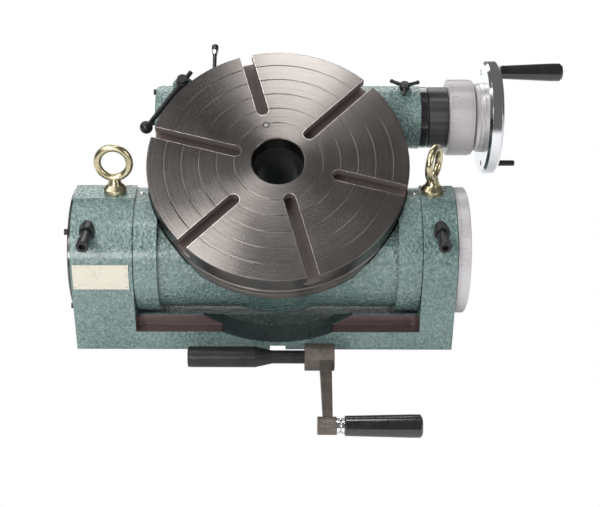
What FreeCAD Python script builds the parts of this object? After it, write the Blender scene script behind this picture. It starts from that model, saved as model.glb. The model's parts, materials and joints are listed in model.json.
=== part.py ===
# Tilting rotary table: a round T-slotted table on a body that tilts between two pedestals.
# Millimetres. X runs along the tilt axis, +Z is up and the operator stands on the -Y side.
# The origin is on the base's underside, below the tilt axis, at the middle of the table.

import FreeCAD
import Part
import Sketcher
import math
import os

os.makedirs("parts", exist_ok=True)
doc = FreeCAD.newDocument("TiltingRotaryTable")
sheet = doc.addObject("Spreadsheet::Sheet", "Sizes")


# Sizes: a number that also knows its spreadsheet expression

class Size:
    """A length, angle or count with its number and the expression that gives it."""

    def __init__(self, number, text):
        self.number = float(number)
        self.text = text

    def __add__(self, other):
        other = sized(other)
        return Size(self.number + other.number, f"({self.text} + {other.text})")

    def __sub__(self, other):
        other = sized(other)
        return Size(self.number - other.number, f"({self.text} - {other.text})")

    def __mul__(self, other):
        other = sized(other)
        return Size(self.number * other.number, f"({self.text} * {other.text})")

    def __truediv__(self, other):
        other = sized(other)
        return Size(self.number / other.number, f"({self.text} / {other.text})")

    def __neg__(self):
        return Size(-self.number, f"(0 - {self.text})")

    def __radd__(self, other):
        return sized(other) + self

    def __rsub__(self, other):
        return sized(other) - self

    def __rmul__(self, other):
        return sized(other) * self


def sized(value):
    """Return the value as a Size."""
    if isinstance(value, Size):
        return value
    return Size(value, f"({float(value):.6g})")


def cosine(angle):
    """Cosine of an angle in degrees."""
    angle = sized(angle)
    return Size(math.cos(math.radians(angle.number)), f"cos({angle.text})")


def sine(angle):
    """Sine of an angle in degrees."""
    angle = sized(angle)
    return Size(math.sin(math.radians(angle.number)), f"sin({angle.text})")


def root(value):
    """Square root."""
    return Size(math.sqrt(value.number), f"sqrt({value.text})")


def cell(alias, number, note):
    """Write one driving size into the next row of the spreadsheet."""
    row = len(cell.rows) + 1
    cell.rows.append(alias)
    sheet.set(f"A{row}", note)
    sheet.set(f"B{row}", str(number))
    sheet.setAlias(f"B{row}", alias)
    return Size(number, f"Sizes.{alias}")


cell.rows = []

# Layout of the tilt axis and of the table on it
axis_height = cell("axis_height", 92.5, "tilt axis above the underside of the base")
rest_tilt = cell("rest_tilt", 35, "tilt of the table at rest, degrees")
rim_floor_gap = cell("rim_floor_gap", 11, "rim of the table above the floor when it stands on edge")
rim_room = cell("rim_room", 12.5, "outer face of a trunnion flange beyond the table's rim")
face_height = cell("face_height", 89, "table face above the tilt axis")
flat_gap = cell("flat_gap", 0.5, "air gap between flat faces that move past each other")
round_gap = cell("round_gap", 0.3, "air gap between round faces that are not a fit")
running_gap = cell("running_gap", 0.05, "radial clearance of a running fit")

# Table
table_radius = cell("table_radius", 150, "table")
table_thick = cell("table_thick", 27, "table")
bore_radius = cell("bore_radius", 30, "centre bore of the table and spindle")
edge_chamfer = cell("edge_chamfer", 1, "chamfer of turned outside edges")
groove_first = cell("groove_first", 51, "radius of the innermost centring groove")
groove_step = cell("groove_step", 20, "step from one centring groove to the next")
groove_width = cell("groove_width", 1.0, "centring groove")
groove_depth = cell("groove_depth", 0.6, "centring groove")
slot_width = cell("slot_width", 14, "neck of a T-slot")
slot_neck = cell("slot_neck", 11, "depth of the neck of a T-slot")
slot_foot_width = cell("slot_foot_width", 23, "wide foot of a T-slot")
slot_foot = cell("slot_foot", 9, "height of the foot of a T-slot")
slot_long_end = cell("slot_long_end", 51, "inner end of the three long T-slots")
slot_short_end = cell("slot_short_end", 71, "inner end of the three short T-slots")
slot_turn = cell("slot_turn", 45, "angle of the first T-slot, degrees")
pin_circle = cell("pin_circle", 50, "circle of the locating pin in the table face")
pin_radius = cell("pin_radius", 2.5, "locating pin")
pin_length = cell("pin_length", 12, "locating pin")

# Spindle, platform and thrust ring
spindle_radius = cell("spindle_radius", 48, "spindle journal")
spindle_step = cell("spindle_step", 42, "lower journal of the spindle")
spindle_flange = cell("spindle_flange", 60, "flange of the spindle in the table")
spindle_nut_radius = cell("spindle_nut_radius", 56, "ring nut of the spindle")
spindle_nut_thick = cell("spindle_nut_thick", 12, "ring nut of the spindle")
spindle_nut_notch = cell("spindle_nut_notch", 5, "depth of a notch in the ring nut")
flange_thick = cell("flange_thick", 6, "flange of the spindle")
ring_height = cell("ring_height", 10, "graduated ring, height")
ring_wall = cell("ring_wall", 11, "graduated ring and housing, inside the table's rim")
ring_screw_inset = cell("ring_screw_inset", 7.5, "graduated ring's screws inside the table's rim")
ring_groove = cell("ring_groove", 1.5, "dark groove between the table and its ring")
platform_band = cell("platform_band", 12, "height of the platform's outer band")
platform_inset = cell("platform_inset", 0.5, "machined platform inside the table's rim")
thrust_inner = cell("thrust_inner", 100, "thrust ring, inside")
thrust_outer = cell("thrust_outer", 122, "thrust ring, outside")
thrust_depth = cell("thrust_depth", 4, "depth of the thrust ring's seat")

# Worm drive of the table
module_size = cell("module_size", 2, "module of both worm drives")
wheel_teeth = cell("wheel_teeth", 90, "teeth of the table's worm wheel")
wheel_face = cell("wheel_face", 12, "face width of a worm wheel")
worm_radius = cell("worm_radius", 16.5, "pitch radius of the table worm")
worm_depth = cell("worm_depth", 75, "worm axis below the table face")
worm_length = cell("worm_length", 44, "threaded length of the table worm")
thread_play = cell("thread_play", 0.9, "air beside the worm thread at the pitch line")
shaft_radius = cell("shaft_radius", 10, "worm shaft")
tunnel_radius = cell("tunnel_radius", 24, "worm tunnel through the housing")
left_bush_length = cell("left_bush_length", 25, "left worm bush")
right_bush_length = cell("right_bush_length", 41, "right worm bush")
tilt_bush_length = cell("tilt_bush_length", 14, "front bush of the tilt worm")
tilt_bush_back = cell("tilt_bush_back", 20, "back bush of the tilt worm")
left_bush_sink = cell("left_bush_sink", 5, "left worm bush inside the barrel's end")
tilt_teeth = cell("tilt_teeth", 60, "teeth of the tilt wheel")
tilt_worm_radius = cell("tilt_worm_radius", 10, "pitch radius of the tilt worm")
tilt_worm_length = cell("tilt_worm_length", 44, "threaded length of the tilt worm")
tilt_shaft_radius = cell("tilt_shaft_radius", 7.5, "tilt worm shaft")

# Tilting body
drum_radius = cell("drum_radius", 67, "drum between the trunnion flanges")
flange_width = cell("flange_width", 26.5, "trunnion flange, along the axis")
flange_radius = cell("flange_radius", 73, "trunnion flange")
body_top = cell("body_top", 61.5, "flat top of the tilting body above the tilt axis")
housing_low = cell("housing_low", 22, "underside of the housing below the tilt axis")
floor_thick = cell("floor_thick", 10, "floor of the housing")
swing_radius = cell("swing_radius", 75, "swing allowed to the front of the housing")
cavity_radius = cell("cavity_radius", 97, "cavity for the worm wheel")
barrel_radius = cell("barrel_radius", 38.5, "worm barrel on the back of the housing")
barrel_short = cell("barrel_short", 18.5, "left end of the worm barrel inside the flange's face")
barrel_over = cell("barrel_over", 9.5, "right end of the worm barrel beyond the flange's face")
hub_radius = cell("hub_radius", 66, "lower bearing boss")
hub_low = cell("hub_low", 40, "bottom of the lower bearing boss below the tilt axis")
bearing_outer = cell("bearing_outer", 50, "lower bearing ring")
bottom_circle = cell("bottom_circle", 57, "circle of the bottom cover's screws")
end_cap_circle = cell("end_cap_circle", 31.2, "circle of the worm end cap's screws")
cover_thick = cell("cover_thick", 6, "bottom cover of the spindle")
end_cap_thick = cell("end_cap_thick", 5, "flange of the worm end cap")
end_cap_plug = cell("end_cap_plug", 4, "plug of the worm end cap in the barrel")

# Base
side_gap = cell("side_gap", 0.8, "gap between a trunnion flange and its pedestal")
left_width = cell("left_width", 70, "left pedestal, which holds the tilt drive")
right_width = cell("right_width", 39, "right pedestal")
pedestal_radius = cell("pedestal_radius", 73.5, "round top of a pedestal")
base_overhang = cell("base_overhang", 96.5, "back face of the base behind the table axis")
ledge_height = cell("ledge_height", 24, "clamping ledge")
ledge_depth = cell("ledge_depth", 16.5, "clamping ledge")
ledge_corner = cell("ledge_corner", 9, "cutter corner of a clamping ledge")
deck_height = cell("deck_height", 37, "deck between the pedestals")
foot_height = cell("foot_height", 46, "rear foot of a pedestal")
foot_blend = cell("foot_blend", 25, "hollow from a pedestal down to its rear foot")
trough_gap = cell("trough_gap", 3.5, "air under the trunnion flanges")
relief_gap = cell("relief_gap", 0.8, "air round the table's rim when it stands on edge")
relief_back = cell("relief_back", 36.5, "back of the rim relief, before the tilt axis")
keyway_width = cell("keyway_width", 18, "keyway in the underside")
keyway_depth = cell("keyway_depth", 5, "keyway in the underside")
pad_half = cell("pad_half", 17, "half depth of the flat pad on a pedestal")
pad_rise = cell("pad_rise", 75.5, "flat pad above the tilt axis")
chamber_wall = cell("chamber_wall", 9, "wall round the tilt wheel")
chamber_depth = cell("chamber_depth", 43, "depth of the tilt wheel's chamber")
gear_cover = cell("gear_cover", 3, "end cover of the left pedestal")

# Trunnions
trunnion_radius = cell("trunnion_radius", 26, "trunnion shaft journal")
bush_radius = cell("bush_radius", 34, "trunnion bush, outside")
bush_length = cell("bush_length", 24, "trunnion bush")
trunnion_seat = cell("trunnion_seat", 14, "length of a trunnion shaft inside its flange")
wheel_seat = cell("wheel_seat", 20, "seat of the tilt wheel on its shaft")
wheel_inset = cell("wheel_inset", 34, "tilt wheel's middle from the left end face")
nut_radius = cell("nut_radius", 28, "trunnion nut across its corners")
nut_thick = cell("nut_thick", 7, "trunnion nut")
scale_width = cell("scale_width", 14.5, "tilt scale ring")
scale_radius = cell("scale_radius", 74, "tilt scale ring")
scale_gap = cell("scale_gap", 0.5, "gap between the scale ring and the pedestal")
scale_wall = cell("scale_wall", 8, "rim wall of the scale ring")
scale_web = cell("scale_web", 6, "web of the scale ring")
scale_screw_circle = cell("scale_screw_circle", 23, "circle of the scale ring's screws")

# Handwheel end of the worm shaft
retainer_radius = cell("retainer_radius", 37.5, "black bearing retainer and index sleeve")
retainer_length = cell("retainer_length", 10, "black bearing retainer")
sleeve_length = cell("sleeve_length", 22.6, "dark index sleeve")
dial_radius = cell("dial_radius", 46.5, "micrometer collar")
dial_length = cell("dial_length", 31, "micrometer collar")
dial_step = cell("dial_step", 4, "stepped end of the micrometer collar")
handwheel_gap = cell("handwheel_gap", 12.9, "from the collar to the handwheel rim")
handwheel_width = cell("handwheel_width", 16.8, "handwheel rim")
handwheel_radius = cell("handwheel_radius", 69, "handwheel")
handwheel_inner = cell("handwheel_inner", 46, "inside of the handwheel rim")
handwheel_hub = cell("handwheel_hub", 20, "handwheel hub")
handwheel_web = cell("handwheel_web", 7, "handwheel web")
grip_circle = cell("grip_circle", 56, "circle of the handwheel grip and pin")
grip_turn = cell("grip_turn", 26, "angle of the grip at rest, degrees")
grip_gap = cell("grip_gap", 6.6, "from the handwheel to its grip")
grip_length = cell("grip_length", 76, "handwheel grip")
grip_thin = cell("grip_thin", 8.3, "handwheel grip at its wheel end")
grip_thick = cell("grip_thick", 11, "handwheel grip at its free end")
grip_bolt_radius = cell("grip_bolt_radius", 4, "bolt through a grip")
stub_radius = cell("stub_radius", 3.5, "short pin in the handwheel")
stub_length = cell("stub_length", 24.4, "short pin beyond the handwheel")

# Small controls on the tilting body
lever_inset = cell("lever_inset", 34, "clamp lever's pivot inside the table's rim, along the axis")
knob_inset = cell("knob_inset", 19.5, "three-arm knob from the barrel's right end")
oiler_inset = cell("oiler_inset", 5.5, "oilers from the outer face of a trunnion flange")
lever_back = cell("lever_back", 129, "clamp lever's pivot behind the table axis")
lever_boss = cell("lever_boss", 13, "boss under the clamp lever")
lever_plane = cell("lever_plane", 56.5, "clamp lever above the tilt axis")
lever_length = cell("lever_length", 76, "clamp lever from pivot to ball")
lever_turn = cell("lever_turn", 237.5, "direction of the clamp lever at rest, degrees")
lever_hub = cell("lever_hub", 7.6, "clamp lever hub")
lever_sink = cell("lever_sink", 6.5, "clamp lever hub below the lever")
lever_rise = cell("lever_rise", 4.5, "clamp lever hub above the lever")
lever_stub = cell("lever_stub", 10, "short end of the clamp lever beyond its hub")
stud_radius = cell("stud_radius", 4, "clamp stud in the lever")
stud_cap = cell("stud_cap", 6.5, "head of the clamp stud")
stud_sink = cell("stud_sink", 12, "clamp stud in its boss")
lever_gap = cell("lever_gap", 7, "top of the boss below the clamp lever")
ball_radius = cell("ball_radius", 7.8, "ball of the clamp lever")
arm_radius = cell("arm_radius", 2.8, "rod of the clamp lever")
knob_turn = cell("knob_turn", 22, "lean of the three-arm knob, degrees")
knob_height = cell("knob_height", 45.5, "middle of the knob's hub from the worm axis")
knob_arm = cell("knob_arm", 18, "arm of the three-arm knob")
plunger_x = cell("plunger_x", 80, "plunger to the left of the middle")
plunger_height = cell("plunger_height", 30, "plunger above the tilt axis")
plunger_tip = cell("plunger_tip", 203, "outer end of the plunger behind the table axis")

# Fittings of the base
lock_rise = cell("lock_rise", 51.5, "lock screws above the tilt axis")
lock_left_in = cell("lock_left_in", 50.7, "left lock screw from the pedestal's inner face")
lock_right_in = cell("lock_right_in", 20.2, "right lock screw from the pedestal's inner face")
lock_radius = cell("lock_radius", 6, "lock screw")
lock_reach = cell("lock_reach", 90, "head of a lock screw before the tilt axis")
lock_ring = cell("lock_ring", 8.6, "seat ring of a lock screw")
eye_left_in = cell("eye_left_in", 23.7, "left eye bolt from the pedestal's inner face")
eye_right_in = cell("eye_right_in", 13.7, "right eye bolt from the pedestal's inner face")
lock_sink = cell("lock_sink", 4, "lock screw beyond its seat ring")
eye_mean = cell("eye_mean", 18.2, "mean radius of the eye")
eye_wire = cell("eye_wire", 4.3, "thickness radius of the eye")
eye_collar = cell("eye_collar", 13, "collar of the eye bolt")
eye_neck = cell("eye_neck", 18, "height of the eye bolt below its ring")
eye_thread = cell("eye_thread", 5.9, "thread of the eye bolt")
eye_turn = cell("eye_turn", 65, "turn of the right eye bolt, degrees")
plate_in = cell("plate_in", 4.7, "nameplate from the pedestal's inner face")
plate_width = cell("plate_width", 63, "nameplate")
plate_drop = cell("plate_drop", 11.5, "lower edge of the nameplate below the tilt axis")
plate_height = cell("plate_height", 30, "nameplate")
plate_thick = cell("plate_thick", 0.6, "nameplate")

# Loose crank that turns the tilt worm
crank_y = cell("crank_y", 112, "crank socket before the tilt axis, lying on the floor")
crank_start = cell("crank_start", 101, "mouth of the crank socket to the left of the middle")
socket_radius = cell("socket_radius", 11.8, "socket end of the crank tube")
socket_square = cell("socket_square", 12, "square of the crank socket and of the tilt shaft")
socket_depth = cell("socket_depth", 30, "depth of the crank socket")
socket_length = cell("socket_length", 76, "thick part of the crank tube")
tube_taper = cell("tube_taper", 19, "taper of the crank tube")
tube_radius = cell("tube_radius", 7.5, "thin part of the crank tube")
tube_length = cell("tube_length", 162, "crank tube with the part inside the arm")
crank_hub = cell("crank_hub", 15.5, "hub of the crank arm")
crank_hub_length = cell("crank_hub_length", 33.5, "hub of the crank arm")
crank_reach = cell("crank_reach", 122, "crank socket to crank grip")
crank_arm_width = cell("crank_arm_width", 14, "crank arm")
crank_arm_thick = cell("crank_arm_thick", 12, "crank arm")
crank_boss = cell("crank_boss", 9.5, "boss of the crank arm at the grip")
crank_boss_length = cell("crank_boss_length", 20, "boss of the crank arm at the grip")
crank_collar = cell("crank_collar", 8, "collar of the crank grip")
crank_collar_length = cell("crank_collar_length", 8, "collar of the crank grip")
crank_grip_length = cell("crank_grip_length", 80.5, "crank grip")
crank_grip_thin = cell("crank_grip_thin", 10.6, "crank grip at the arm")
crank_grip_thick = cell("crank_grip_thick", 12.2, "crank grip at its free end")

# Lengths that follow from the driving sizes
lean_cos = cosine(rest_tilt)
lean_sin = sine(rest_tilt)
table_offset = table_radius + rim_floor_gap - axis_height
table_low = face_height - table_thick
ring_low = table_low - ring_groove - ring_height
ring_inner = table_radius - ring_wall
ring_screw_circle = table_radius - ring_screw_inset
platform_radius = table_radius - platform_inset
housing_radius = table_radius - ring_wall
flange_end = table_radius + rim_room
drum_half = flange_end - flange_width
barrel_left = flange_end - barrel_short
barrel_right = flange_end + barrel_over
base_back = table_offset + base_overhang
platform_low = ring_low - flat_gap - platform_band
pitch_radius = module_size * wheel_teeth / 2
wheel_tip = pitch_radius + module_size
worm_level = face_height - worm_depth
worm_back = table_offset + pitch_radius + worm_radius
cavity_floor = floor_thick - housing_low
tilt_pitch_radius = module_size * tilt_teeth / 2
tilt_tip = tilt_pitch_radius + module_size
tilt_worm_height = axis_height - tilt_pitch_radius - tilt_worm_radius
tilt_bore = tilt_worm_radius + module_size + 2
pedestal_in = flange_end + side_gap
left_out = pedestal_in + left_width
right_out = pedestal_in + right_width
pad_height = axis_height + pad_rise
lock_height = axis_height + lock_rise
lock_left = pedestal_in + lock_left_in
lock_right = pedestal_in + lock_right_in
lock_ring_top = lock_rise + lock_ring
lock_ring_end = root(pedestal_radius * pedestal_radius - lock_ring_top * lock_ring_top) - round_gap
lock_seat = lock_ring_end - lock_sink
eye_left = pedestal_in + eye_left_in
eye_right = pedestal_in + eye_right_in
plate_left = pedestal_in + plate_in
plate_low = axis_height - plate_drop
oiler_x = flange_end - oiler_inset
lever_x = table_radius - lever_inset
knob_x = barrel_right - knob_inset
tilt_wheel_x = left_out - wheel_inset
chamber_radius = pedestal_radius - chamber_wall
relief_radius = table_radius + relief_gap
trough_radius = flange_radius + trough_gap
standing_height = axis_height + table_offset
retainer_start = barrel_right + flat_gap
sleeve_start = retainer_start + retainer_length + flat_gap
dial_start = sleeve_start + sleeve_length + flat_gap
handwheel_start = dial_start + dial_length + handwheel_gap
handwheel_end = handwheel_start + handwheel_width
grip_start = handwheel_end + grip_gap
stub_end = handwheel_end + stub_length
boss_top = lever_plane - lever_gap
crank_lean_sine = (crank_hub - crank_grip_thick) / crank_reach
crank_lean = math.degrees(math.asin(crank_lean_sine.number))


# Helpers that make bound objects

def bind(obj, name, value):
    """Give a property its number and, for a Size, its expression."""
    value = sized(value)
    obj.setExpression(name, value.text)


def place(obj, at=(0, 0, 0), axis=(1, 0, 0), angle=0):
    """Place an object at a point, turned about an axis."""
    point = [sized(value) for value in at]
    angle = sized(angle)
    turn = FreeCAD.Rotation(FreeCAD.Vector(*axis), angle.number)
    obj.Placement = FreeCAD.Placement(FreeCAD.Vector(*[p.number for p in point]), turn)
    for name, value in zip("xyz", point):
        obj.setExpression(f"Placement.Base.{name}", value.text)
    if angle.number:
        obj.setExpression("Placement.Rotation.Angle", angle.text)
    return obj


def block(name, x, y, z):
    """Box between two planes along each axis."""
    obj = doc.addObject("Part::Box", name)
    for prop, (low, high) in zip(("Length", "Width", "Height"), (x, y, z)):
        bind(obj, prop, sized(high) - low)
    return place(obj, (x[0], y[0], z[0]))


TURNS = {"x": ((0, 1, 0), 90), "y": ((1, 0, 0), -90), "z": ((1, 0, 0), 0)}


def axis_point(along, low, centre):
    """Point on an axis that runs along x, y or z through a centre in the other two."""
    if along == "x":
        return (low, centre[0], centre[1])
    if along == "y":
        return (centre[0], low, centre[1])
    return (centre[0], centre[1], low)


def cylinder(name, radius, low, high, along="z", centre=(0, 0)):
    """Cylinder between two planes across its axis."""
    obj = doc.addObject("Part::Cylinder", name)
    bind(obj, "Radius", radius)
    bind(obj, "Height", sized(high) - low)
    axis, angle = TURNS[along]
    return place(obj, axis_point(along, low, centre), axis, angle)


def cone(name, start_radius, end_radius, low, high, along="z", centre=(0, 0)):
    """Cone between two planes across its axis."""
    obj = doc.addObject("Part::Cone", name)
    bind(obj, "Radius1", start_radius)
    bind(obj, "Radius2", end_radius)
    bind(obj, "Height", sized(high) - low)
    axis, angle = TURNS[along]
    return place(obj, axis_point(along, low, centre), axis, angle)


def hexagon(name, corner_radius, low, high, along="z", centre=(0, 0)):
    """Six-sided prism between two planes across its axis."""
    obj = doc.addObject("Part::Prism", name)
    obj.Polygon = 6
    bind(obj, "Circumradius", corner_radius)
    bind(obj, "Height", sized(high) - low)
    axis, angle = TURNS[along]
    return place(obj, axis_point(along, low, centre), axis, angle)


def sphere(name, radius, at):
    """Full ball."""
    obj = doc.addObject("Part::Sphere", name)
    bind(obj, "Radius", radius)
    return place(obj, at)


def united(name, parts, refine=True):
    """One solid from overlapping ones."""
    obj = doc.addObject("Part::MultiFuse", name)
    obj.Shapes = parts
    obj.Refine = refine
    return obj


def shared(name, first, second):
    """What two solids have in common."""
    obj = doc.addObject("Part::Common", name)
    obj.Base = first
    obj.Tool = second
    return obj


def cut(name, body, tools):
    """A solid with tools taken out of it."""
    obj = doc.addObject("Part::Cut", name)
    obj.Base = body
    obj.Tool = tools[0] if len(tools) == 1 else united(f"{name}_tools", tools, False)
    obj.Refine = True
    return obj


def group(name, parts):
    """Pieces kept as separate solids, such as like screws that share one node."""
    obj = doc.addObject("Part::Compound", name)
    obj.Links = parts
    return obj


def origin_item(body, role):
    """An origin plane or axis of a body."""
    return [item for item in body.Origin.OriginFeatures if item.Role == role][0]


def outline(body, name, plane, points):
    """Closed sketch of straight edges through points that are bound to the sizes."""
    sketch = body.newObject("Sketcher::SketchObject", name)
    sketch.AttachmentSupport = [(origin_item(body, plane), "")]
    sketch.MapMode = "FlatFace"
    points = [(sized(a), sized(b)) for a, b in points]
    spots = [FreeCAD.Vector(a.number, b.number, 0) for a, b in points]
    count = len(points)
    for index in range(count):
        sketch.addGeometry(Part.LineSegment(spots[index], spots[(index + 1) % count]), False)
    for index in range(count):
        sketch.addConstraint(Sketcher.Constraint("Coincident", index, 2, (index + 1) % count, 1))
    for index, pair in enumerate(points):
        for kind, value in zip(("DistanceX", "DistanceY"), pair):
            number = sketch.addConstraint(Sketcher.Constraint(kind, -1, 1, index, 1, value.number))
            sketch.setExpression(f"Constraints[{number}]", value.text)
    return sketch


def turned(name, points, along="z"):
    """Turned piece from its half section, given as (radius, position along the axis)."""
    body = doc.addObject("PartDesign::Body", name)
    if along == "x":
        points = [(position, radius) for radius, position in points]
    plane = {"x": "XY_Plane", "y": "XY_Plane", "z": "XZ_Plane"}[along]
    sketch = outline(body, f"{name}_section", plane, points)
    feature = body.newObject("PartDesign::Revolution", f"{name}_turning")
    feature.Profile = sketch
    feature.ReferenceAxis = (origin_item(body, f"{along.upper()}_Axis"), [""])
    feature.Angle = 360
    sketch.Visibility = False
    return body


def ring(name, inner, outer, low, high, along="z", chamfer=None):
    """Turned ring, with its outside edges chamfered when a chamfer is given."""
    low, high, outer = sized(low), sized(high), sized(outer)
    if chamfer is None:
        points = [(inner, low), (outer, low), (outer, high), (inner, high)]
    else:
        points = [(inner, low), (outer - chamfer, low), (outer, low + chamfer),
                  (outer, high - chamfer), (outer - chamfer, high), (inner, high)]
    return turned(name, points, along)


def toothed_wheel(name, teeth, tip_radius, bore, face, along):
    """Worm wheel: a turned blank, one tooth gap and its polar pattern.

    A gap lies on the side of the wheel that faces the worm, so the pair is in mesh at rest.
    """
    plane, side = {"z": ("XY_Plane", 1), "x": ("YZ_Plane", -1)}[along]
    body = ring(name, bore, tip_radius, -face / 2, face / 2, along)
    root_radius = tip_radius - 2.25 * module_size
    half_pitch = math.pi / 4 * module_size
    low, high = root_radius, tip_radius + 1
    low_half = half_pitch - 0.36 * 1.25 * module_size + thread_play / 2
    high_half = half_pitch + 0.36 * (module_size + 1) + thread_play / 2
    gap = outline(body, f"{name}_gap", plane,
                  [(-low_half, low * side), (low_half, low * side),
                   (high_half, high * side), (-high_half, high * side)])
    pocket = body.newObject("PartDesign::Pocket", f"{name}_gap_cut")
    pocket.Profile = gap
    pocket.Type = "ThroughAll"
    pocket.Midplane = True
    pattern = body.newObject("PartDesign::PolarPattern", f"{name}_teeth")
    pattern.Originals = [pocket]
    pattern.Axis = (origin_item(body, f"{along.upper()}_Axis"), [""])
    pattern.Angle = 360
    pattern.setExpression("Occurrences", teeth.text)
    body.Tip = pattern
    gap.Visibility = False
    return body


def thread_shape(pitch_line, length, facing, steps=20):
    """Right-handed worm thread along +X, in flat facets, with a crest at X=0 where it faces the wheel.

    The facing angle is measured about +X from +Y. Each step is a wedge between two half planes.
    """
    lead = math.pi * module_size.number
    tip = pitch_line.number + module_size.number
    foot = pitch_line.number - 1.25 * module_size.number - 0.6
    half = lead / 4 - thread_play.number / 2
    tip_half = half - 0.36 * module_size.number
    foot_half = half + 0.36 * (1.25 * module_size.number + 0.6)
    turns = length.number / lead
    count = int(turns * steps) // 2 * 2
    sections = []
    for index in range(-count // 2, count // 2 + 1):
        angle = math.radians(facing) + 2 * math.pi * index / steps
        middle = lead * index / steps
        corners = []
        for radius, offset in ((foot, -foot_half), (tip, -tip_half), (tip, tip_half), (foot, foot_half)):
            corners.append(FreeCAD.Vector(middle + offset, radius * math.cos(angle), radius * math.sin(angle)))
        sections.append(corners)
    faces = [Part.Face(Part.makePolygon(sections[0] + [sections[0][0]])),
             Part.Face(Part.makePolygon(sections[-1] + [sections[-1][0]]))]
    for near, far in zip(sections, sections[1:]):
        for corner in range(4):
            following = (corner + 1) % 4
            for triangle in ((near[corner], near[following], far[following]),
                             (near[corner], far[following], far[corner])):
                faces.append(Part.Face(Part.makePolygon(list(triangle) + [triangle[0]])))
    return Part.Solid(Part.Shell(faces))


def worm_core(pitch_line):
    """Radius of a worm's body at the foot of its thread."""
    return pitch_line - 1.25 * module_size - 0.2


def cap_screw(name, radius, length, head_radius, head_height, along, seat, centre, outward):
    """Socket-head cap screw: its head stands on the seat and its shank goes in from there."""
    seat = sized(seat)
    tip = seat - length * outward
    crown = seat + head_height * outward
    floor = seat + 0.4 * head_height * outward
    ends = (lambda a, b: (a, b) if outward > 0 else (b, a))
    shank = cylinder(f"{name}_shank", radius, *ends(tip, seat), along, centre)
    head = cylinder(f"{name}_head", head_radius, *ends(seat, crown), along, centre)
    socket = hexagon(f"{name}_socket", head_radius * 0.55, *ends(floor, crown), along, centre)
    return cut(name, united(f"{name}_blank", [shank, head]), [socket])


def hole_circle(name, count, circle, first, radius, low, high, along, middle=(0, 0)):
    """Cylinders spaced evenly round a circle, used as tools for screw holes."""
    holes = []
    for index in range(count):
        angle = first + 360 / count * index
        centre = (middle[0] + circle * cosine(angle), middle[1] + circle * sine(angle))
        holes.append(cylinder(f"{name}_{index}", radius, low, high, along, centre))
    return holes


def screw_circle(name, count, circle, first, radius, length, along, seat, middle=(0, 0)):
    """Cap screws spaced evenly round a circle, with their heads on the low side."""
    screws = []
    for index in range(count):
        angle = first + 360 / count * index
        centre = (middle[0] + circle * cosine(angle), middle[1] + circle * sine(angle))
        screws.append(cap_screw(f"{name}_{index}", radius, length, radius + 1.5, 2 * radius, along, seat, centre,
                                -1))
    return group(name, screws)


nodes = []


def node(obj, label):
    """Register a finished sub-part under its name."""
    obj.Label = label
    nodes.append(obj)
    return obj


def on_tilt(x, back, up):
    """Point given in the tilting body's own directions, as it lies at rest."""
    back, up = sized(back), sized(up)
    return (x, back * lean_cos - up * lean_sin, axis_height + back * lean_sin + up * lean_cos)


def tilted(obj, x=0, back=0, up=0, angle=0):
    """Place an object in the tilting body's own directions."""
    return place(obj, on_tilt(x, back, up), (1, 0, 0), rest_tilt + angle)


# Base

def pedestal(side, low, high):
    """Pedestal with a round top, a flat pad and a rear foot."""
    name = f"{side}_pedestal"
    column = block(f"{name}_column", (low, high), (-pedestal_radius, pedestal_radius), (0, axis_height))
    crown = cylinder(f"{name}_crown", pedestal_radius, low, high, "x", (0, axis_height))
    pad = block(f"{name}_pad", (low, high), (-pad_half, pad_half), (axis_height, pad_height))
    foot = block(f"{name}_foot", (low, high), (0, base_back), (0, foot_height))
    blend_end = pedestal_radius + foot_blend
    blend = block(f"{name}_blend", (low, high), (pedestal_radius - 1, blend_end),
                  (foot_height - 1, foot_height + foot_blend))
    hollow = cylinder(f"{name}_hollow", foot_blend, low, high, "x", (blend_end, foot_height + foot_blend))
    return [column, crown, pad, foot, cut(f"{name}_web", blend, [hollow])]


def ledge_corners():
    """Rounded ends that the cutter leaves on the two clamping ledges."""
    webs = []
    for side, mirror in (("left", -1), ("right", 1)):
        for end, front in (("front", -pedestal_radius), ("back", base_back)):
            inward = 1 if end == "front" else -1
            wall = front + ledge_depth * inward
            centre_x = (pedestal_in - ledge_corner) * mirror
            centre_y = wall - ledge_corner * inward
            x_span = (centre_x, pedestal_in * mirror) if mirror > 0 else (pedestal_in * mirror, centre_x)
            y_span = (centre_y, wall + 1) if inward > 0 else (wall - 1, centre_y)
            name = f"ledge_{side}_{end}"
            web = block(f"{name}_web", x_span, y_span, (ledge_height, deck_height))
            cutter = cylinder(f"{name}_cutter", ledge_corner, ledge_height, deck_height + 1, "z",
                              (centre_x, centre_y))
            webs.append(cut(name, web, [cutter]))
    return webs


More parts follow.
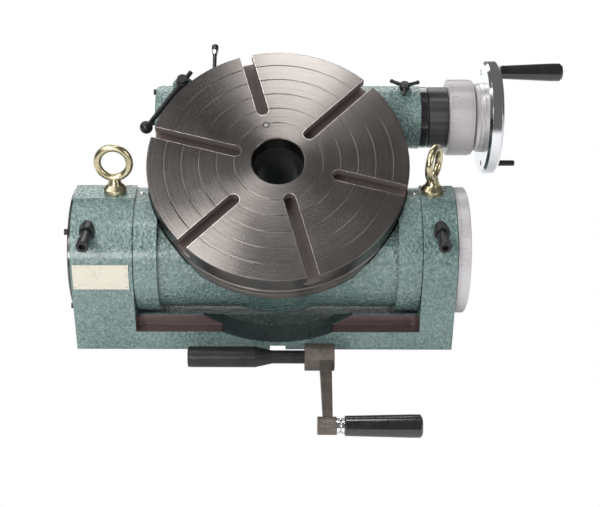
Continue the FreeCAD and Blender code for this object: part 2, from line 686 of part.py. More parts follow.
def base_casting():
    """Cast base: floor, deck with clamping ledges, two pedestals and their bores."""
    floor = block("base_floor", (-left_out, right_out), (-pedestal_radius, base_back), (0, ledge_height))
    deck = block("base_deck", (-pedestal_in - 1, pedestal_in + 1),
                 (ledge_depth - pedestal_radius, base_back - ledge_depth), (0, deck_height))
    solid = united("base_solid", [floor, deck] + pedestal("left", -left_out, -pedestal_in)
                   + pedestal("right", pedestal_in, right_out) + ledge_corners())
    chamber_in = left_out - chamber_depth
    tools = [
        cylinder("base_trough", trough_radius, -pedestal_in, pedestal_in, "x", (0, axis_height)),
        cylinder("base_relief", relief_radius, -pedestal_radius - 1, -relief_back, "y", (0, standing_height)),
        cylinder("base_chamber", chamber_radius, -left_out - 1, -chamber_in, "x", (0, axis_height)),
        cylinder("base_left_bore", bush_radius, -chamber_in - 1, -pedestal_in + 1, "x", (0, axis_height)),
        cylinder("base_right_bore", bush_radius, pedestal_in - 1, right_out + 1, "x", (0, axis_height)),
        cylinder("base_worm_bore", tilt_bore, -tilt_worm_length, base_back + 1, "y",
                 (-tilt_wheel_x, tilt_worm_height)),
        block("base_keyway", (-keyway_width / 2, keyway_width / 2), (-pedestal_radius - 1, base_back + 1),
              (-1, keyway_depth)),
        cylinder("base_left_tap", eye_thread + 0.1, pad_height - 9, pad_height + 1, "z", (-eye_left, 0)),
        cylinder("base_right_tap", eye_thread + 0.1, pad_height - 9, pad_height + 1, "z", (eye_right, 0)),
    ]
    for side, x in (("left", -lock_left), ("right", lock_right)):
        seat = cylinder(f"base_{side}_lock_seat", lock_ring, -pedestal_radius, -lock_ring_end, "y",
                        (x, lock_height))
        tap = cylinder(f"base_{side}_lock_tap", lock_radius + round_gap, -lock_ring_end - 1, -lock_seat, "y",
                       (x, lock_height))
        tools += [seat, tap]
    tools += hole_circle("base_cover_tap", 4, cover_screw_circle, 45, 2.1, -left_out - 1, -left_out + 9, "x",
                         (0, axis_height))
    return cut("base_casting", solid, tools)


cover_screw_circle = pedestal_radius - chamber_wall / 2 - 0.5


def tilt_gear_cover():
    """Thin black end cover of the tilt wheel's chamber, with a register."""
    face = -left_out - gear_cover
    points = [(0, face), (pedestal_radius - 1.5, face), (pedestal_radius - 0.5, face + 1),
              (pedestal_radius - 0.5, -left_out), (chamber_radius - round_gap, -left_out),
              (chamber_radius - round_gap, -left_out + 2), (0, -left_out + 2)]
    plate = turned("cover_plate", points, "x")
    place(plate, (0, 0, axis_height))
    holes = hole_circle("cover_hole", 4, cover_screw_circle, 45, 2.3, face - 1, -left_out + 1, "x",
                        (0, axis_height))
    return cut("tilt_gear_cover", plate, holes)


def cover_screws():
    """Four cap screws of the end cover."""
    return screw_circle("cover_screws", 4, cover_screw_circle, 45, 2, 11, "x", -left_out - gear_cover,
                        (0, axis_height))


def trunnion_bush(name, low):
    """Bronze bush in a pedestal."""
    bush = ring(name, trunnion_radius + running_gap, bush_radius, low, low + bush_length, "x")
    return place(bush, (0, 0, axis_height))


def eye_bolt(name, x, turn):
    """Lifting eye bolt screwed into a pedestal's pad."""
    stem = turned(f"{name}_stem", [(0, -8), (eye_thread, -8), (eye_thread, 0), (eye_collar, 0), (eye_collar, 5),
                                   (eye_wire + 4, 10), (eye_wire + 1.5, eye_neck), (0, eye_neck)])
    eye = doc.addObject("Part::Torus", f"{name}_eye")
    bind(eye, "Radius1", eye_mean)
    bind(eye, "Radius2", eye_wire)
    place(eye, (0, 0, eye_neck + eye_mean), (1, 0, 0), 90)
    bolt = united(name, [stem, eye])
    return place(bolt, (x, 0, pad_height), (0, 0, 1), turn)


def lock_screw(name, x):
    """Long black cap screw that locks the tilt from the front of a pedestal."""
    head_high = 12
    shank = turned(f"{name}_turned", [
        (0, -lock_seat), (lock_radius, -lock_seat), (lock_radius, -lock_reach + head_high),
        (lock_radius + 1.2, -lock_reach + head_high), (lock_radius + 1.2, -lock_reach + 1),
        (lock_radius + 0.2, -lock_reach), (0, -lock_reach)], "y")
    socket = hexagon(f"{name}_socket", 4, -lock_reach - 1, -lock_reach + 6, "y")
    return place(cut(name, shank, [socket]), (x, 0, lock_height))


def lock_rings():
    """Seat rings round the two lock screws, let into the pedestals."""
    front = -root(pedestal_radius * pedestal_radius
                  - (lock_height - axis_height) * (lock_height - axis_height))
    rings = []
    for side, x in (("left", -lock_left), ("right", lock_right)):
        seat = ring(f"{side}_lock_ring", lock_radius + round_gap, lock_ring, front - 6, -lock_ring_end, "y", 0.8)
        rings.append(place(seat, (x, 0, lock_height)))
    return group("lock_rings", rings)


def nameplate():
    """Bare nameplate bent round the front of the left pedestal."""
    x_span = (-plate_left - plate_width, -plate_left)
    outer = cylinder("plate_outer", pedestal_radius + plate_thick, *x_span, "x", (0, axis_height))
    inner = cylinder("plate_inner", pedestal_radius, *x_span, "x", (0, axis_height))
    window = block("plate_window", x_span, (-pedestal_radius - 2, 0), (axis_height, plate_low + plate_height))
    bent = shared("plate_bent", cut("plate_shell", outer, [inner]), window)
    flat = block("plate_flat", x_span, (-pedestal_radius - plate_thick, -pedestal_radius),
                 (plate_low, axis_height))
    return united("nameplate", [bent, flat])


def tilt_worm_bushes():
    """Two bronze bushes of the tilt worm shaft."""
    low = -tilt_worm_length
    high = base_back - 2
    spans = ((low, low + tilt_bush_length), (high - tilt_bush_back, high))
    bushes = []
    for index, (start, end) in enumerate(spans):
        bush = ring(f"tilt_worm_bush_{index}", tilt_shaft_radius + running_gap, tilt_bore, start, end, "y")
        bushes.append(place(bush, (-tilt_wheel_x, 0, tilt_worm_height)))
    return group("tilt_worm_bushes", bushes)


def tilt_worm_cap():
    """Round cap over the tilt worm's bore at the back of the base."""
    cap = ring("tilt_worm_cap", tilt_shaft_radius + round_gap, tilt_bore + 6, base_back, base_back + 4, "y", 1)
    return place(cap, (-tilt_wheel_x, 0, tilt_worm_height))


node(base_casting(), "base_casting")
node(tilt_gear_cover(), "tilt_gear_cover")
node(cover_screws(), "cover_screws")
node(trunnion_bush("left_trunnion_bush", -pedestal_in - bush_length), "left_trunnion_bush")
node(trunnion_bush("right_trunnion_bush", pedestal_in), "right_trunnion_bush")
node(eye_bolt("left_eye_bolt", -eye_left, 0), "left_eye_bolt")
node(eye_bolt("right_eye_bolt", eye_right, eye_turn), "right_eye_bolt")
node(lock_screw("left_lock_screw", -lock_left), "left_lock_screw")
node(lock_screw("right_lock_screw", lock_right), "right_lock_screw")
node(lock_rings(), "lock_rings")
node(nameplate(), "nameplate")
node(tilt_worm_bushes(), "tilt_worm_bushes")
node(tilt_worm_cap(), "tilt_worm_cap")


# Tilt drive

def tilt_worm():
    """Tilt worm: shaft with a square end, and its thread."""
    core = worm_core(tilt_worm_radius)
    front = -tilt_worm_length
    half = tilt_worm_length / 2
    shaft = turned("tilt_worm_turned", [
        (0, front + 1), (tilt_shaft_radius, front + 1), (tilt_shaft_radius, -half - 2), (core, -half - 1),
        (core, half + 1), (tilt_shaft_radius, half + 2), (tilt_shaft_radius, base_back + 5),
        (0, base_back + 5)], "y")
    half_square = (socket_square - 0.3) / 2
    square = block("tilt_worm_square", (-half_square, half_square), (base_back + 4, base_back + 28),
                   (-half_square, half_square))
    thread = doc.addObject("Part::Feature", "tilt_worm_thread")
    thread.Shape = thread_shape(tilt_worm_radius, tilt_worm_length, 90)
    place(thread, (0, 0, 0), (0, 0, 1), 90)
    return place(united("tilt_worm", [shaft, square, thread]), (-tilt_wheel_x, 0, tilt_worm_height))


def tilt_wheel():
    """Tilt wheel on the left trunnion shaft."""
    wheel = toothed_wheel("tilt_wheel", tilt_teeth, tilt_tip, wheel_seat + running_gap, wheel_face, "x")
    return place(wheel, (-tilt_wheel_x, 0, axis_height))


def trunnion_shaft(name, side):
    """Trunnion shaft held in a flange of the tilting body; the left one also carries the tilt wheel."""
    inner = flange_end - trunnion_seat
    if side < 0:
        shoulder = tilt_wheel_x - wheel_face / 2
        end = shoulder + wheel_face + nut_thick + 2
        points = [(0, -inner), (trunnion_radius, -inner), (trunnion_radius, -shoulder),
                  (wheel_seat, -shoulder), (wheel_seat, -end), (0, -end)]
    else:
        shoulder = right_out + scale_gap
        end = shoulder + scale_web + 3
        points = [(0, inner), (trunnion_radius, inner), (trunnion_radius, shoulder),
                  (wheel_seat, shoulder), (wheel_seat, end), (0, end)]
        return tilted(cut(name, turned(f"{name}_turned", points, "x"), scale_screw_holes(1.65, shoulder)))
    return tilted(turned(name, points, "x"))


def scale_screw_holes(radius, middle):
    """Tools for the three screw holes through the scale ring's web and into its shaft."""
    holes = []
    for index in range(3):
        angle = 90 + 120 * index
        centre = (scale_screw_circle * cosine(angle), scale_screw_circle * sine(angle))
        hole = doc.addObject("Part::Cylinder", "scale_screw_hole")
        bind(hole, "Radius", radius)
        bind(hole, "Height", 16)
        axis, turn = TURNS["x"]
        holes.append(place(hole, axis_point("x", middle - 8, centre), axis, turn))
    return holes


def trunnion_nut():
    """Hexagon nut that holds the tilt wheel."""
    start = tilt_wheel_x + wheel_face / 2 + 0.2
    blank = hexagon("trunnion_nut_blank", nut_radius, -start - nut_thick, -start, "x")
    bore = cylinder("trunnion_nut_bore", wheel_seat + running_gap, -start - nut_thick - 1, -start + 1, "x")
    return tilted(cut("trunnion_nut", blank, [bore]))


def tilt_scale_ring():
    """Aluminium tilt scale ring, dished on its open side."""
    start = right_out + scale_gap
    end = start + scale_width
    inner = scale_radius - scale_wall
    points = [(wheel_seat + running_gap, start), (scale_radius - 1, start), (scale_radius, start + 1),
              (scale_radius, end - 1), (scale_radius - 1, end), (inner, end), (inner, start + scale_web),
              (wheel_seat + running_gap, start + scale_web)]
    return tilted(cut("tilt_scale_ring", turned("tilt_scale_blank", points, "x"), scale_screw_holes(1.75, start)))


def scale_ring_screws():
    """Three cap screws that hold the scale ring on the trunnion shaft's washer plate."""
    seat = right_out + scale_gap + scale_web
    screws = []
    for index in range(3):
        angle = 90 + 120 * index
        centre = (scale_screw_circle * cosine(angle), scale_screw_circle * sine(angle))
        screws.append(cap_screw(f"scale_screw_{index}", 1.6, 13, 2.7, 3, "x", seat, centre, 1))
    return tilted(group("scale_ring_screws", screws))


node(tilt_worm(), "tilt_worm")
node(tilt_wheel(), "tilt_wheel")
node(trunnion_shaft("left_trunnion_shaft", -1), "left_trunnion_shaft")
node(trunnion_shaft("right_trunnion_shaft", 1), "right_trunnion_shaft")
node(trunnion_nut(), "trunnion_nut")
node(tilt_scale_ring(), "tilt_scale_ring")
node(scale_ring_screws(), "scale_ring_screws")


# Tilting body

knob_pivot_angle = -knob_turn


def tilting_body():
    """Cast tilting body: drum, trunnion flanges, round housing and worm barrel."""
    table_axis = (0, table_offset)
    worm_axis = (worm_back, worm_level)
    housing = cylinder("body_housing", housing_radius, -housing_low, platform_low, "z", table_axis)
    ahead = block("body_ahead", (-flange_end, flange_end), (-housing_radius, 0), (-housing_radius, platform_low))
    swing = cylinder("body_swing", swing_radius, -flange_end, flange_end, "x")
    solids = [
        cylinder("body_drum", drum_radius, -drum_half, drum_half, "x"),
        cylinder("body_left_flange", flange_radius, -flange_end, -drum_half, "x"),
        cylinder("body_right_flange", flange_radius, drum_half, flange_end, "x"),
        cut("body_trimmed_housing", housing, [cut("body_front", ahead, [swing])]),
        cylinder("body_barrel", barrel_radius, -barrel_left, barrel_right, "x", worm_axis),
        cylinder("body_hub", hub_radius, -hub_low, -housing_low + 1, "z", table_axis),
        cylinder("body_lever_boss", lever_boss, worm_level, boss_top, "z",
                 (-lever_x, table_offset + lever_back)),
        cylinder("body_plunger_boss", 7, worm_back, worm_back + barrel_radius + 3, "y",
                 (-plunger_x, plunger_height)),
    ]
    knob_boss = cylinder("body_knob_boss", 8, tunnel_radius + 2, barrel_radius + 3)
    solids.append(place(knob_boss, (knob_x, worm_back - (tunnel_radius + 2) * sine(knob_pivot_angle),
                                    worm_level + (tunnel_radius + 2) * cosine(knob_pivot_angle)),
                        (1, 0, 0), knob_pivot_angle))
    solid = united("body_solid", solids)
    knob_hole = cylinder("body_knob_hole", 3.3, 0, barrel_radius + 20)
    place(knob_hole, (knob_x, worm_back, worm_level), (1, 0, 0), knob_pivot_angle)
    seats = [
        block("body_flat_cut", (-drum_half, drum_half), (-drum_radius, drum_radius), (body_top, face_height)),
        place(turned("body_table_seat", [
            (0, platform_low), (platform_radius + 0.4, platform_low), (platform_radius + 0.4, ring_low - flat_gap),
            (table_radius + 1.2, ring_low - flat_gap), (table_radius + 1.2, face_height + 5),
            (0, face_height + 5)]), (0, table_offset, 0)),
        cylinder("body_cover_seat", hub_radius - 2, -flange_radius - 1, -hub_low, "z", table_axis),
    ]
    bores = [
        cylinder("body_cavity", cavity_radius, cavity_floor, platform_low + 1, "z", table_axis),
        cylinder("body_lower_bore", bearing_outer, -hub_low - 1, cavity_floor + 1, "z", table_axis),
        cylinder("body_tunnel", tunnel_radius, -barrel_left - 1, barrel_right + 1, "x", worm_axis),
        cylinder("body_left_socket", trunnion_radius, -flange_end - 1, -flange_end + trunnion_seat, "x"),
        cylinder("body_right_socket", trunnion_radius, flange_end - trunnion_seat, flange_end + 1, "x"),
        cylinder("body_lever_hole", 5, boss_top - 12, boss_top + 1, "z", (-lever_x, table_offset + lever_back)),
        cylinder("body_plunger_hole", 2.8, worm_back, plunger_tip + table_offset, "y",
                 (-plunger_x, plunger_height)),
        knob_hole,
    ]
    for side, x in (("left", -oiler_x), ("right", oiler_x)):
        hole = cylinder(f"body_{side}_oiler_bore", 3, flange_radius - 2, flange_radius + 5)
        bores.append(place(group(f"body_{side}_oiler_hole", [hole]), (x, 0, 0), (1, 0, 0), -rest_tilt))
    bores += hole_circle("body_bottom_tap", 6, bottom_circle, 0, 2.1, -hub_low - 1, 10 - hub_low, "z", table_axis)
    bores += hole_circle("body_end_tap", 4, end_cap_circle, 45, 2.1, -barrel_left - 1, 10 - barrel_left, "x",
                         worm_axis)
    return tilted(cut("tilting_body", cut("body_seated", solid, seats), bores))


def platform():
    """Machined platform that closes the housing and guides the spindle."""
    low = platform_low
    band = ring_low - flat_gap
    top = table_low - flat_gap
    inner = spindle_radius + running_gap
    rib_low = low - 8
    points = [(inner, rib_low), (spindle_radius + 14, rib_low), (spindle_radius + 14, low),
              (platform_radius - 1, low), (platform_radius, low + 1), (platform_radius, band - 1),
              (platform_radius - 1, band), (ring_inner - 0.6, band), (ring_inner - 0.6, top),
              (thrust_outer, top), (thrust_outer, top - thrust_depth), (thrust_inner, top - thrust_depth),
              (thrust_inner, top), (inner, top)]
    return tilted(turned("platform", points), 0, table_offset, 0)


def thrust_ring():
    """Flat bronze ring that the table turns on."""
    top = table_low - flat_gap
    piece = ring("thrust_ring", thrust_inner + round_gap, thrust_outer - round_gap, top - thrust_depth,
                 table_low - 0.2)
    return tilted(piece, 0, table_offset, 0)


def lower_bearing():
    """Bearing ring of the spindle in the lower boss."""
    piece = ring("lower_bearing", spindle_step + running_gap, bearing_outer - 0.02, -hub_low, cavity_floor)
    return tilted(piece, 0, table_offset, 0)


def bottom_cover():
    """Plate under the spindle."""
    low = -hub_low - cover_thick
    blank = ring("bottom_cover_turned", bore_radius + 2, hub_radius - 3, low, -hub_low, "z", 1)
    holes = hole_circle("bottom_hole", 6, bottom_circle, 0, 2.3, low - 1, 1 - hub_low, "z")
    return tilted(cut("bottom_cover", blank, holes), 0, table_offset, 0)


def bottom_screws():
    """Six cap screws of the bottom cover."""
    screws = screw_circle("bottom_screws", 6, bottom_circle, 0, 2, 14, "z", -hub_low - cover_thick)
    return tilted(screws, 0, table_offset, 0)


def worm_bush(name, low, high):
    """Bronze bearing of the worm shaft in the tunnel."""
    piece = ring(name, shaft_radius + running_gap, tunnel_radius - 0.02, low, high, "x")
    return tilted(piece, 0, worm_back, worm_level)


def worm_end_cap():
    """Cap on the left end of the worm barrel."""
    outer = -barrel_left - end_cap_thick
    inner = -barrel_left + end_cap_plug
    points = [(0, outer), (barrel_radius - 3, outer), (barrel_radius - 1, outer + 2),
              (barrel_radius - 1, -barrel_left), (tunnel_radius - round_gap, -barrel_left),
              (tunnel_radius - round_gap, inner), (0, inner)]
    holes = hole_circle("end_cap_hole", 4, end_cap_circle, 45, 2.3, outer - 1, 1 - barrel_left, "x")
    return tilted(cut("worm_end_cap", turned("end_cap_turned", points, "x"), holes), 0, worm_back, worm_level)


def end_cap_screws():
    """Four cap screws of the worm barrel's cap."""
    screws = screw_circle("end_cap_screws", 4, end_cap_circle, 45, 2, 13, "x", -barrel_left - end_cap_thick)
    return tilted(screws, 0, worm_back, worm_level)


def bearing_retainer():
    """Glossy black ring that closes the right end of the worm barrel."""
    end = barrel_right + flat_gap + retainer_length
    points = [(shaft_radius + round_gap, barrel_right), (retainer_radius, barrel_right),
              (retainer_radius, end - 2), (retainer_radius - 1.5, end), (shaft_radius + round_gap, end)]
    return tilted(turned("bearing_retainer", points, "x"), 0, worm_back, worm_level)


def index_sleeve():
    """Dark sleeve that carries the index line for the micrometer collar."""
    start = barrel_right + flat_gap + retainer_length
    end = start + flat_gap + sleeve_length
    piece = ring("index_sleeve", shaft_radius + round_gap, retainer_radius - 0.3, start, end, "x", 0.6)
    return tilted(piece, 0, worm_back, worm_level)


def body_oilers():
    """Two small ball oilers on top of the trunnion flanges."""
    oilers = []
    for side, x in (("left", -oiler_x), ("right", oiler_x)):
        piece = turned(f"{side}_oiler", [(0, flange_radius - 2), (3, flange_radius - 2), (3, flange_radius + 0.6),
                                         (1.6, flange_radius + 1.4), (0, flange_radius + 1.4)])
        oilers.append(place(piece, (x, 0, 0), (1, 0, 0), -rest_tilt))
    return tilted(group("body_oilers", oilers))


node(tilting_body(), "tilting_body")
node(platform(), "platform")
node(thrust_ring(), "thrust_ring")
node(lower_bearing(), "lower_bearing")
node(bottom_cover(), "bottom_cover")
node(bottom_screws(), "bottom_screws")
left_bush_start = left_bush_sink - barrel_left
node(worm_bush("left_worm_bush", left_bush_start, left_bush_start + left_bush_length), "left_worm_bush")
right_bush_end = barrel_right - 1
node(worm_bush("right_worm_bush", right_bush_end - right_bush_length, right_bush_end), "right_worm_bush")
node(worm_end_cap(), "worm_end_cap")
node(end_cap_screws(), "end_cap_screws")
node(bearing_retainer(), "bearing_retainer")
node(index_sleeve(), "index_sleeve")
node(body_oilers(), "body_oilers")


# Rotating table

def slot_tools(index):
    """Neck and foot of one T-slot, running out through the rim."""
    angle = slot_turn + 60 * index
    inner = slot_long_end if index % 2 == 0 else slot_short_end
    neck_low = face_height - slot_neck
    foot_low = neck_low - slot_foot
    reach = table_radius + 5
    parts = [
        block(f"slot_{index}_neck", (inner, reach), (-slot_width / 2, slot_width / 2),
              (neck_low - 1, face_height + 1)),
        cylinder(f"slot_{index}_neck_end", slot_width / 2, neck_low - 1, face_height + 1, "z", (inner, 0)),
        block(f"slot_{index}_foot", (inner, reach), (-slot_foot_width / 2, slot_foot_width / 2),
              (foot_low, neck_low)),
        cylinder(f"slot_{index}_foot_end", slot_foot_width / 2, foot_low, neck_low, "z", (inner, 0)),
    ]
    return place(united(f"slot_{index}", parts), (0, 0, 0), (0, 0, 1), angle)


def table():
    """T-slotted table with centring grooves and a register for the spindle."""
    top = face_height
    low = table_low
    chamfer = edge_chamfer
    points = [(bore_radius, top - 1), (bore_radius + 1, top)]
    for index in range(5):
        middle = groove_first + groove_step * index
        points += [(middle - groove_width / 2, top), (middle, top - groove_depth), (middle + groove_width / 2, top)]
    points += [(table_radius - chamfer, top), (table_radius, top - chamfer), (table_radius, low + chamfer),
               (table_radius - chamfer, low), (spindle_flange + 0.05, low),
               (spindle_flange + 0.05, low + flange_thick), (bore_radius, low + flange_thick)]
    blank = turned("table_blank", points)
    tools = [slot_tools(index) for index in range(6)]
    tools.append(cylinder("table_pin_hole", pin_radius + 0.02, top - pin_length, top + 1, "z",
                          (pin_circle * cosine(106), pin_circle * sine(106))))
    return tilted(cut("table", blank, tools), 0, table_offset, 0)


def graduated_ring():
    """Graduated ring under the table's rim."""
    low = ring_low
    high = low + ring_height
    points = [(ring_inner, low), (table_radius - 0.6, low), (table_radius, low + 0.6), (table_radius, high - 1.5),
              (table_radius - 1.5, high), (table_radius - 4, high), (table_radius - 4, table_low),
              (ring_inner, table_low)]
    blank = turned("graduated_ring_blank", points)
    return tilted(cut("graduated_ring", blank, ring_screw_set("ring_hole")), 0, table_offset, 0)


def ring_screw_set(name):
    """Six countersunk screws through the graduated ring, which also cut their own holes."""
    screws = []
    for index in range(6):
        angle = 15 + 60 * index
        centre = (ring_screw_circle * cosine(angle), ring_screw_circle * sine(angle))
        head = cone(f"{name}_{index}_head", 3, 1.6, ring_low, ring_low + 2, "z", centre)
        shank = cylinder(f"{name}_{index}_shank", 1.6, ring_low + 1.9, table_low, "z", centre)
        screws.append(united(f"{name}_{index}", [head, shank]))
    return screws


def ring_screws():
    """Screws that hold the graduated ring up to the table."""
    return tilted(group("ring_screws", ring_screw_set("ring_screw")), 0, table_offset, 0)


def spindle():
    """Hollow spindle: flange in the table, journal, wheel seat and lower journal."""
    top = table_low + flange_thick
    step = worm_level + wheel_face / 2 + 2
    points = [(bore_radius, -hub_low + 1), (spindle_step, -hub_low + 1), (spindle_step, step),
              (spindle_radius, step), (spindle_radius, table_low), (spindle_flange, table_low),
              (spindle_flange, top), (bore_radius, top)]
    return tilted(turned("spindle", points), 0, table_offset, 0)


def worm_wheel():
    """Ninety-tooth worm wheel of the table."""
    wheel = toothed_wheel("worm_wheel", wheel_teeth, wheel_tip, spindle_step + running_gap, wheel_face, "z")
    return tilted(wheel, 0, table_offset, worm_level)


def spindle_nut():
    """Slotted ring nut that holds the worm wheel on the spindle."""
    high = worm_level - wheel_face / 2 - 0.2
    low = high - spindle_nut_thick
    blank = ring("spindle_nut_blank", spindle_step + running_gap, spindle_nut_radius, low, high, "z", 1)
    slots = []
    for index in range(4):
        angle = 90 * index
        slot = block(f"spindle_nut_slot_{index}", (spindle_nut_radius - spindle_nut_notch, spindle_nut_radius + 4),
                     (-4, 4), (low - 1, high + 1))
        slots.append(place(group(f"spindle_nut_notch_{index}", [slot]), (0, 0, 0), (0, 0, 1), angle))
    return tilted(cut("spindle_nut", blank, slots), 0, table_offset, 0)


def table_pin():
    """Small dowel flush in the table face."""
    piece = cylinder("locating_pin", pin_radius, 0, pin_length)
    back = table_offset + pin_circle * sine(106)
    return tilted(piece, pin_circle * cosine(106), back, face_height - pin_length)


node(table(), "table")
node(graduated_ring(), "graduated_ring")
node(ring_screws(), "ring_screws")
node(spindle(), "spindle")
node(worm_wheel(), "worm_wheel")
node(spindle_nut(), "spindle_nut")
node(table_pin(), "locating_pin")


# Worm shaft and handwheel

def table_worm():
    """Table worm: long shaft with its right-handed thread."""
    core = worm_core(worm_radius)
    half = worm_length / 2
    left = -barrel_left + 5
    hub_end = handwheel_start + handwheel_width
    points = [(0, left), (shaft_radius, left), (shaft_radius, -half - 3), (core, -half - 2), (core, half + 2),
              (shaft_radius, half + 3), (shaft_radius, handwheel_start - 8), (8, handwheel_start - 8),
              (8, hub_end + 5), (0, hub_end + 5)]
    shaft = turned("table_worm_turned", points, "x")
    thread = doc.addObject("Part::Feature", "table_worm_thread")
    thread.Shape = thread_shape(worm_radius, worm_length, 180)
    return tilted(united("table_worm", [shaft, thread]), 0, worm_back, worm_level)


def micrometer_collar():
    """Aluminium micrometer collar with a stepped right end."""
    start = barrel_right + flat_gap + retainer_length + flat_gap + sleeve_length + flat_gap
    end = start + dial_length
    step = end - dial_step
    points = [(shaft_radius + running_gap, start), (dial_radius - 1, start), (dial_radius, start + 1),
              (dial_radius, step), (dial_radius - 0.8, step), (dial_radius - 0.8, end - 1),
              (dial_radius - 2, end), (shaft_radius + running_gap, end)]
    return tilted(turned("micrometer_collar", points, "x"), 0, worm_back, worm_level)


def grip_spot(circle, turn):
    """Centre on the handwheel's face, in the tilting body's own directions."""
    return (circle * cosine(turn), circle * sine(turn))


def handwheel():
    """Chromed handwheel: hub, web and a deep rim with two bosses bored for the grip and the pin."""
    start = handwheel_start
    end = start + handwheel_width
    hub_start = start - 7
    web = start
    points = [(8.03, hub_start), (handwheel_hub, hub_start), (handwheel_hub, web),
              (handwheel_radius - 3, start), (handwheel_radius, start + 3),
              (handwheel_radius, end - 3), (handwheel_radius - 3, end), (handwheel_inner, end),
              (handwheel_inner, web + handwheel_web), (handwheel_hub, web + handwheel_web),
              (handwheel_hub, end - 2), (8.03, end - 2)]
    blank = turned("handwheel_blank", points, "x")
    holes = [
        cylinder("handwheel_grip_hole", grip_bolt_radius + 0.02, start - 1, end + 1, "x",
                 grip_spot(grip_circle, grip_turn)),
        cylinder("handwheel_pin_hole", stub_radius + 0.02, start - 1, end + 1, "x",
                 grip_spot(grip_circle, grip_turn + 180)),
    ]
    return tilted(cut("handwheel", blank, holes), 0, worm_back, worm_level)


def handwheel_nut():
    """Domed nut on the end of the worm shaft."""
    seat = handwheel_start + handwheel_width - 2
    points = [(8.03, seat), (15, seat), (15, seat + 1.6), (12, seat + 1.6), (12, seat + 6), (9, seat + 9),
              (0, seat + 9), (0, seat + 8), (8.03, seat + 8)]
    return tilted(turned("handwheel_nut", points, "x"), 0, worm_back, worm_level)


def handwheel_grip():
    """Turning grip of the handwheel."""
    start = grip_start
    end = start + grip_length
    bore = grip_bolt_radius + round_gap
    points = [(bore, start), (grip_thin - 0.8, start), (grip_thin, start + 1), (grip_thin, start + 4),
              (grip_thick, end - 12), (grip_thick, end - 3), (grip_thick - 2.5, end), (bore + 2.6, end),
              (bore + 2.6, end - 5), (bore, end - 5)]
    back, up = grip_spot(grip_circle, grip_turn)
    return tilted(turned("handwheel_grip", points, "x"), 0, worm_back + back, worm_level + up)


def grip_bolt():
    """Shouldered bolt that carries the handwheel grip."""
    end = grip_start + grip_length
    wheel_face_x = handwheel_start + handwheel_width
    points = [(0, handwheel_start + 1), (grip_bolt_radius, handwheel_start + 1), (grip_bolt_radius, wheel_face_x),
              (grip_bolt_radius + 2.4, wheel_face_x), (grip_bolt_radius + 2.4, grip_start - round_gap),
              (grip_bolt_radius, grip_start - round_gap), (grip_bolt_radius, end - 5 + round_gap),
              (grip_bolt_radius + 2.2, end - 5 + round_gap), (grip_bolt_radius + 2.2, end - 1), (0, end - 1)]
    back, up = grip_spot(grip_circle, grip_turn)
    return tilted(turned("grip_bolt", points, "x"), 0, worm_back + back, worm_level + up)


def handwheel_pin():
    """Short pin opposite the grip."""
    points = [(0, handwheel_start + 3), (stub_radius, handwheel_start + 3), (stub_radius, stub_end - 1),
              (stub_radius - 1, stub_end), (0, stub_end)]
    back, up = grip_spot(grip_circle, grip_turn + 180)
    return tilted(turned("handwheel_pin", points, "x"), 0, worm_back + back, worm_level + up)


node(table_worm(), "table_worm")
node(micrometer_collar(), "micrometer_collar")
node(handwheel(), "handwheel")
node(handwheel_nut(), "handwheel_nut")
node(handwheel_grip(), "handwheel_grip")
node(grip_bolt(), "grip_bolt")
node(handwheel_pin(), "handwheel_pin")


# Small controls

def clamp_stud():
    """Stud that the clamp lever turns on."""
    seat = lever_plane + lever_rise + flat_gap
    top = seat + 4
    low = boss_top - stud_sink
    points = [(0, low), (stud_radius + 1, low), (stud_radius + 1, boss_top), (stud_radius, boss_top),
              (stud_radius, seat), (stud_cap, seat), (stud_cap, top - 1), (stud_cap - 1, top), (0, top)]
    return tilted(turned("clamp_stud", points), -lever_x, table_offset + lever_back, 0)


def clamp_lever():
    """Clamp lever: hub, tapered rod and black ball, swinging beside the table's rim."""
    low = lever_plane - lever_sink
    high = lever_plane + lever_rise
    hub = ring("clamp_lever_hub", stud_radius + round_gap, lever_hub, low, high, "z", 1)
    rod = cone("clamp_lever_rod", arm_radius + 0.8, arm_radius - 0.4, lever_hub - 1.5, lever_length, "x",
               (0, lever_plane))
    ball = sphere("clamp_lever_ball", ball_radius, (lever_length, 0, lever_plane))
    stub = cylinder("clamp_lever_stub", arm_radius, -lever_hub - lever_stub, -lever_hub + 1.5, "x", (0, lever_plane))
    turned_lever = place(united("clamp_lever_turned", [hub, rod, ball, stub]), (0, 0, 0), (0, 0, 1), lever_turn)
    return tilted(group("clamp_lever", [turned_lever]), -lever_x, table_offset + lever_back, 0)


def arm_knob():
    """Black knob with three arms on a screw into the worm barrel."""
    stem = turned("arm_knob_stem", [
        (0, tunnel_radius + 1), (3, tunnel_radius + 1), (3, barrel_radius + 3.5), (5.5, barrel_radius + 3.5),
        (6.5, knob_height - 1), (6.5, knob_height + 3), (5, knob_height + 5), (0, knob_height + 5)])
    parts = [stem]
    for index in range(3):
        arm = cone(f"arm_knob_arm_{index}", 2.6, 2, 3, knob_arm, "x", (0, knob_height + 1))
        tip = sphere(f"arm_knob_tip_{index}", 2.6, (knob_arm, 0, knob_height + 1))
        wing = united(f"arm_knob_wing_{index}", [arm, tip])
        parts.append(place(wing, (0, 0, 0), (0, 0, 1), 25 + 120 * index))
    return tilted(united("arm_knob", parts), knob_x, worm_back, worm_level, knob_pivot_angle)


def plunger():
    """Spring plunger with a small black cap on the back of the worm barrel."""
    tip = plunger_tip + table_offset
    inner = worm_back + barrel_radius - 12
    points = [(0, inner), (2.5, inner), (2.5, tip - 14), (3.6, tip - 14), (3.6, tip - 9), (4.3, tip - 9),
              (4.3, tip - 1.5), (3, tip), (0, tip)]
    return tilted(turned("plunger", points, "y"), -plunger_x, 0, plunger_height)


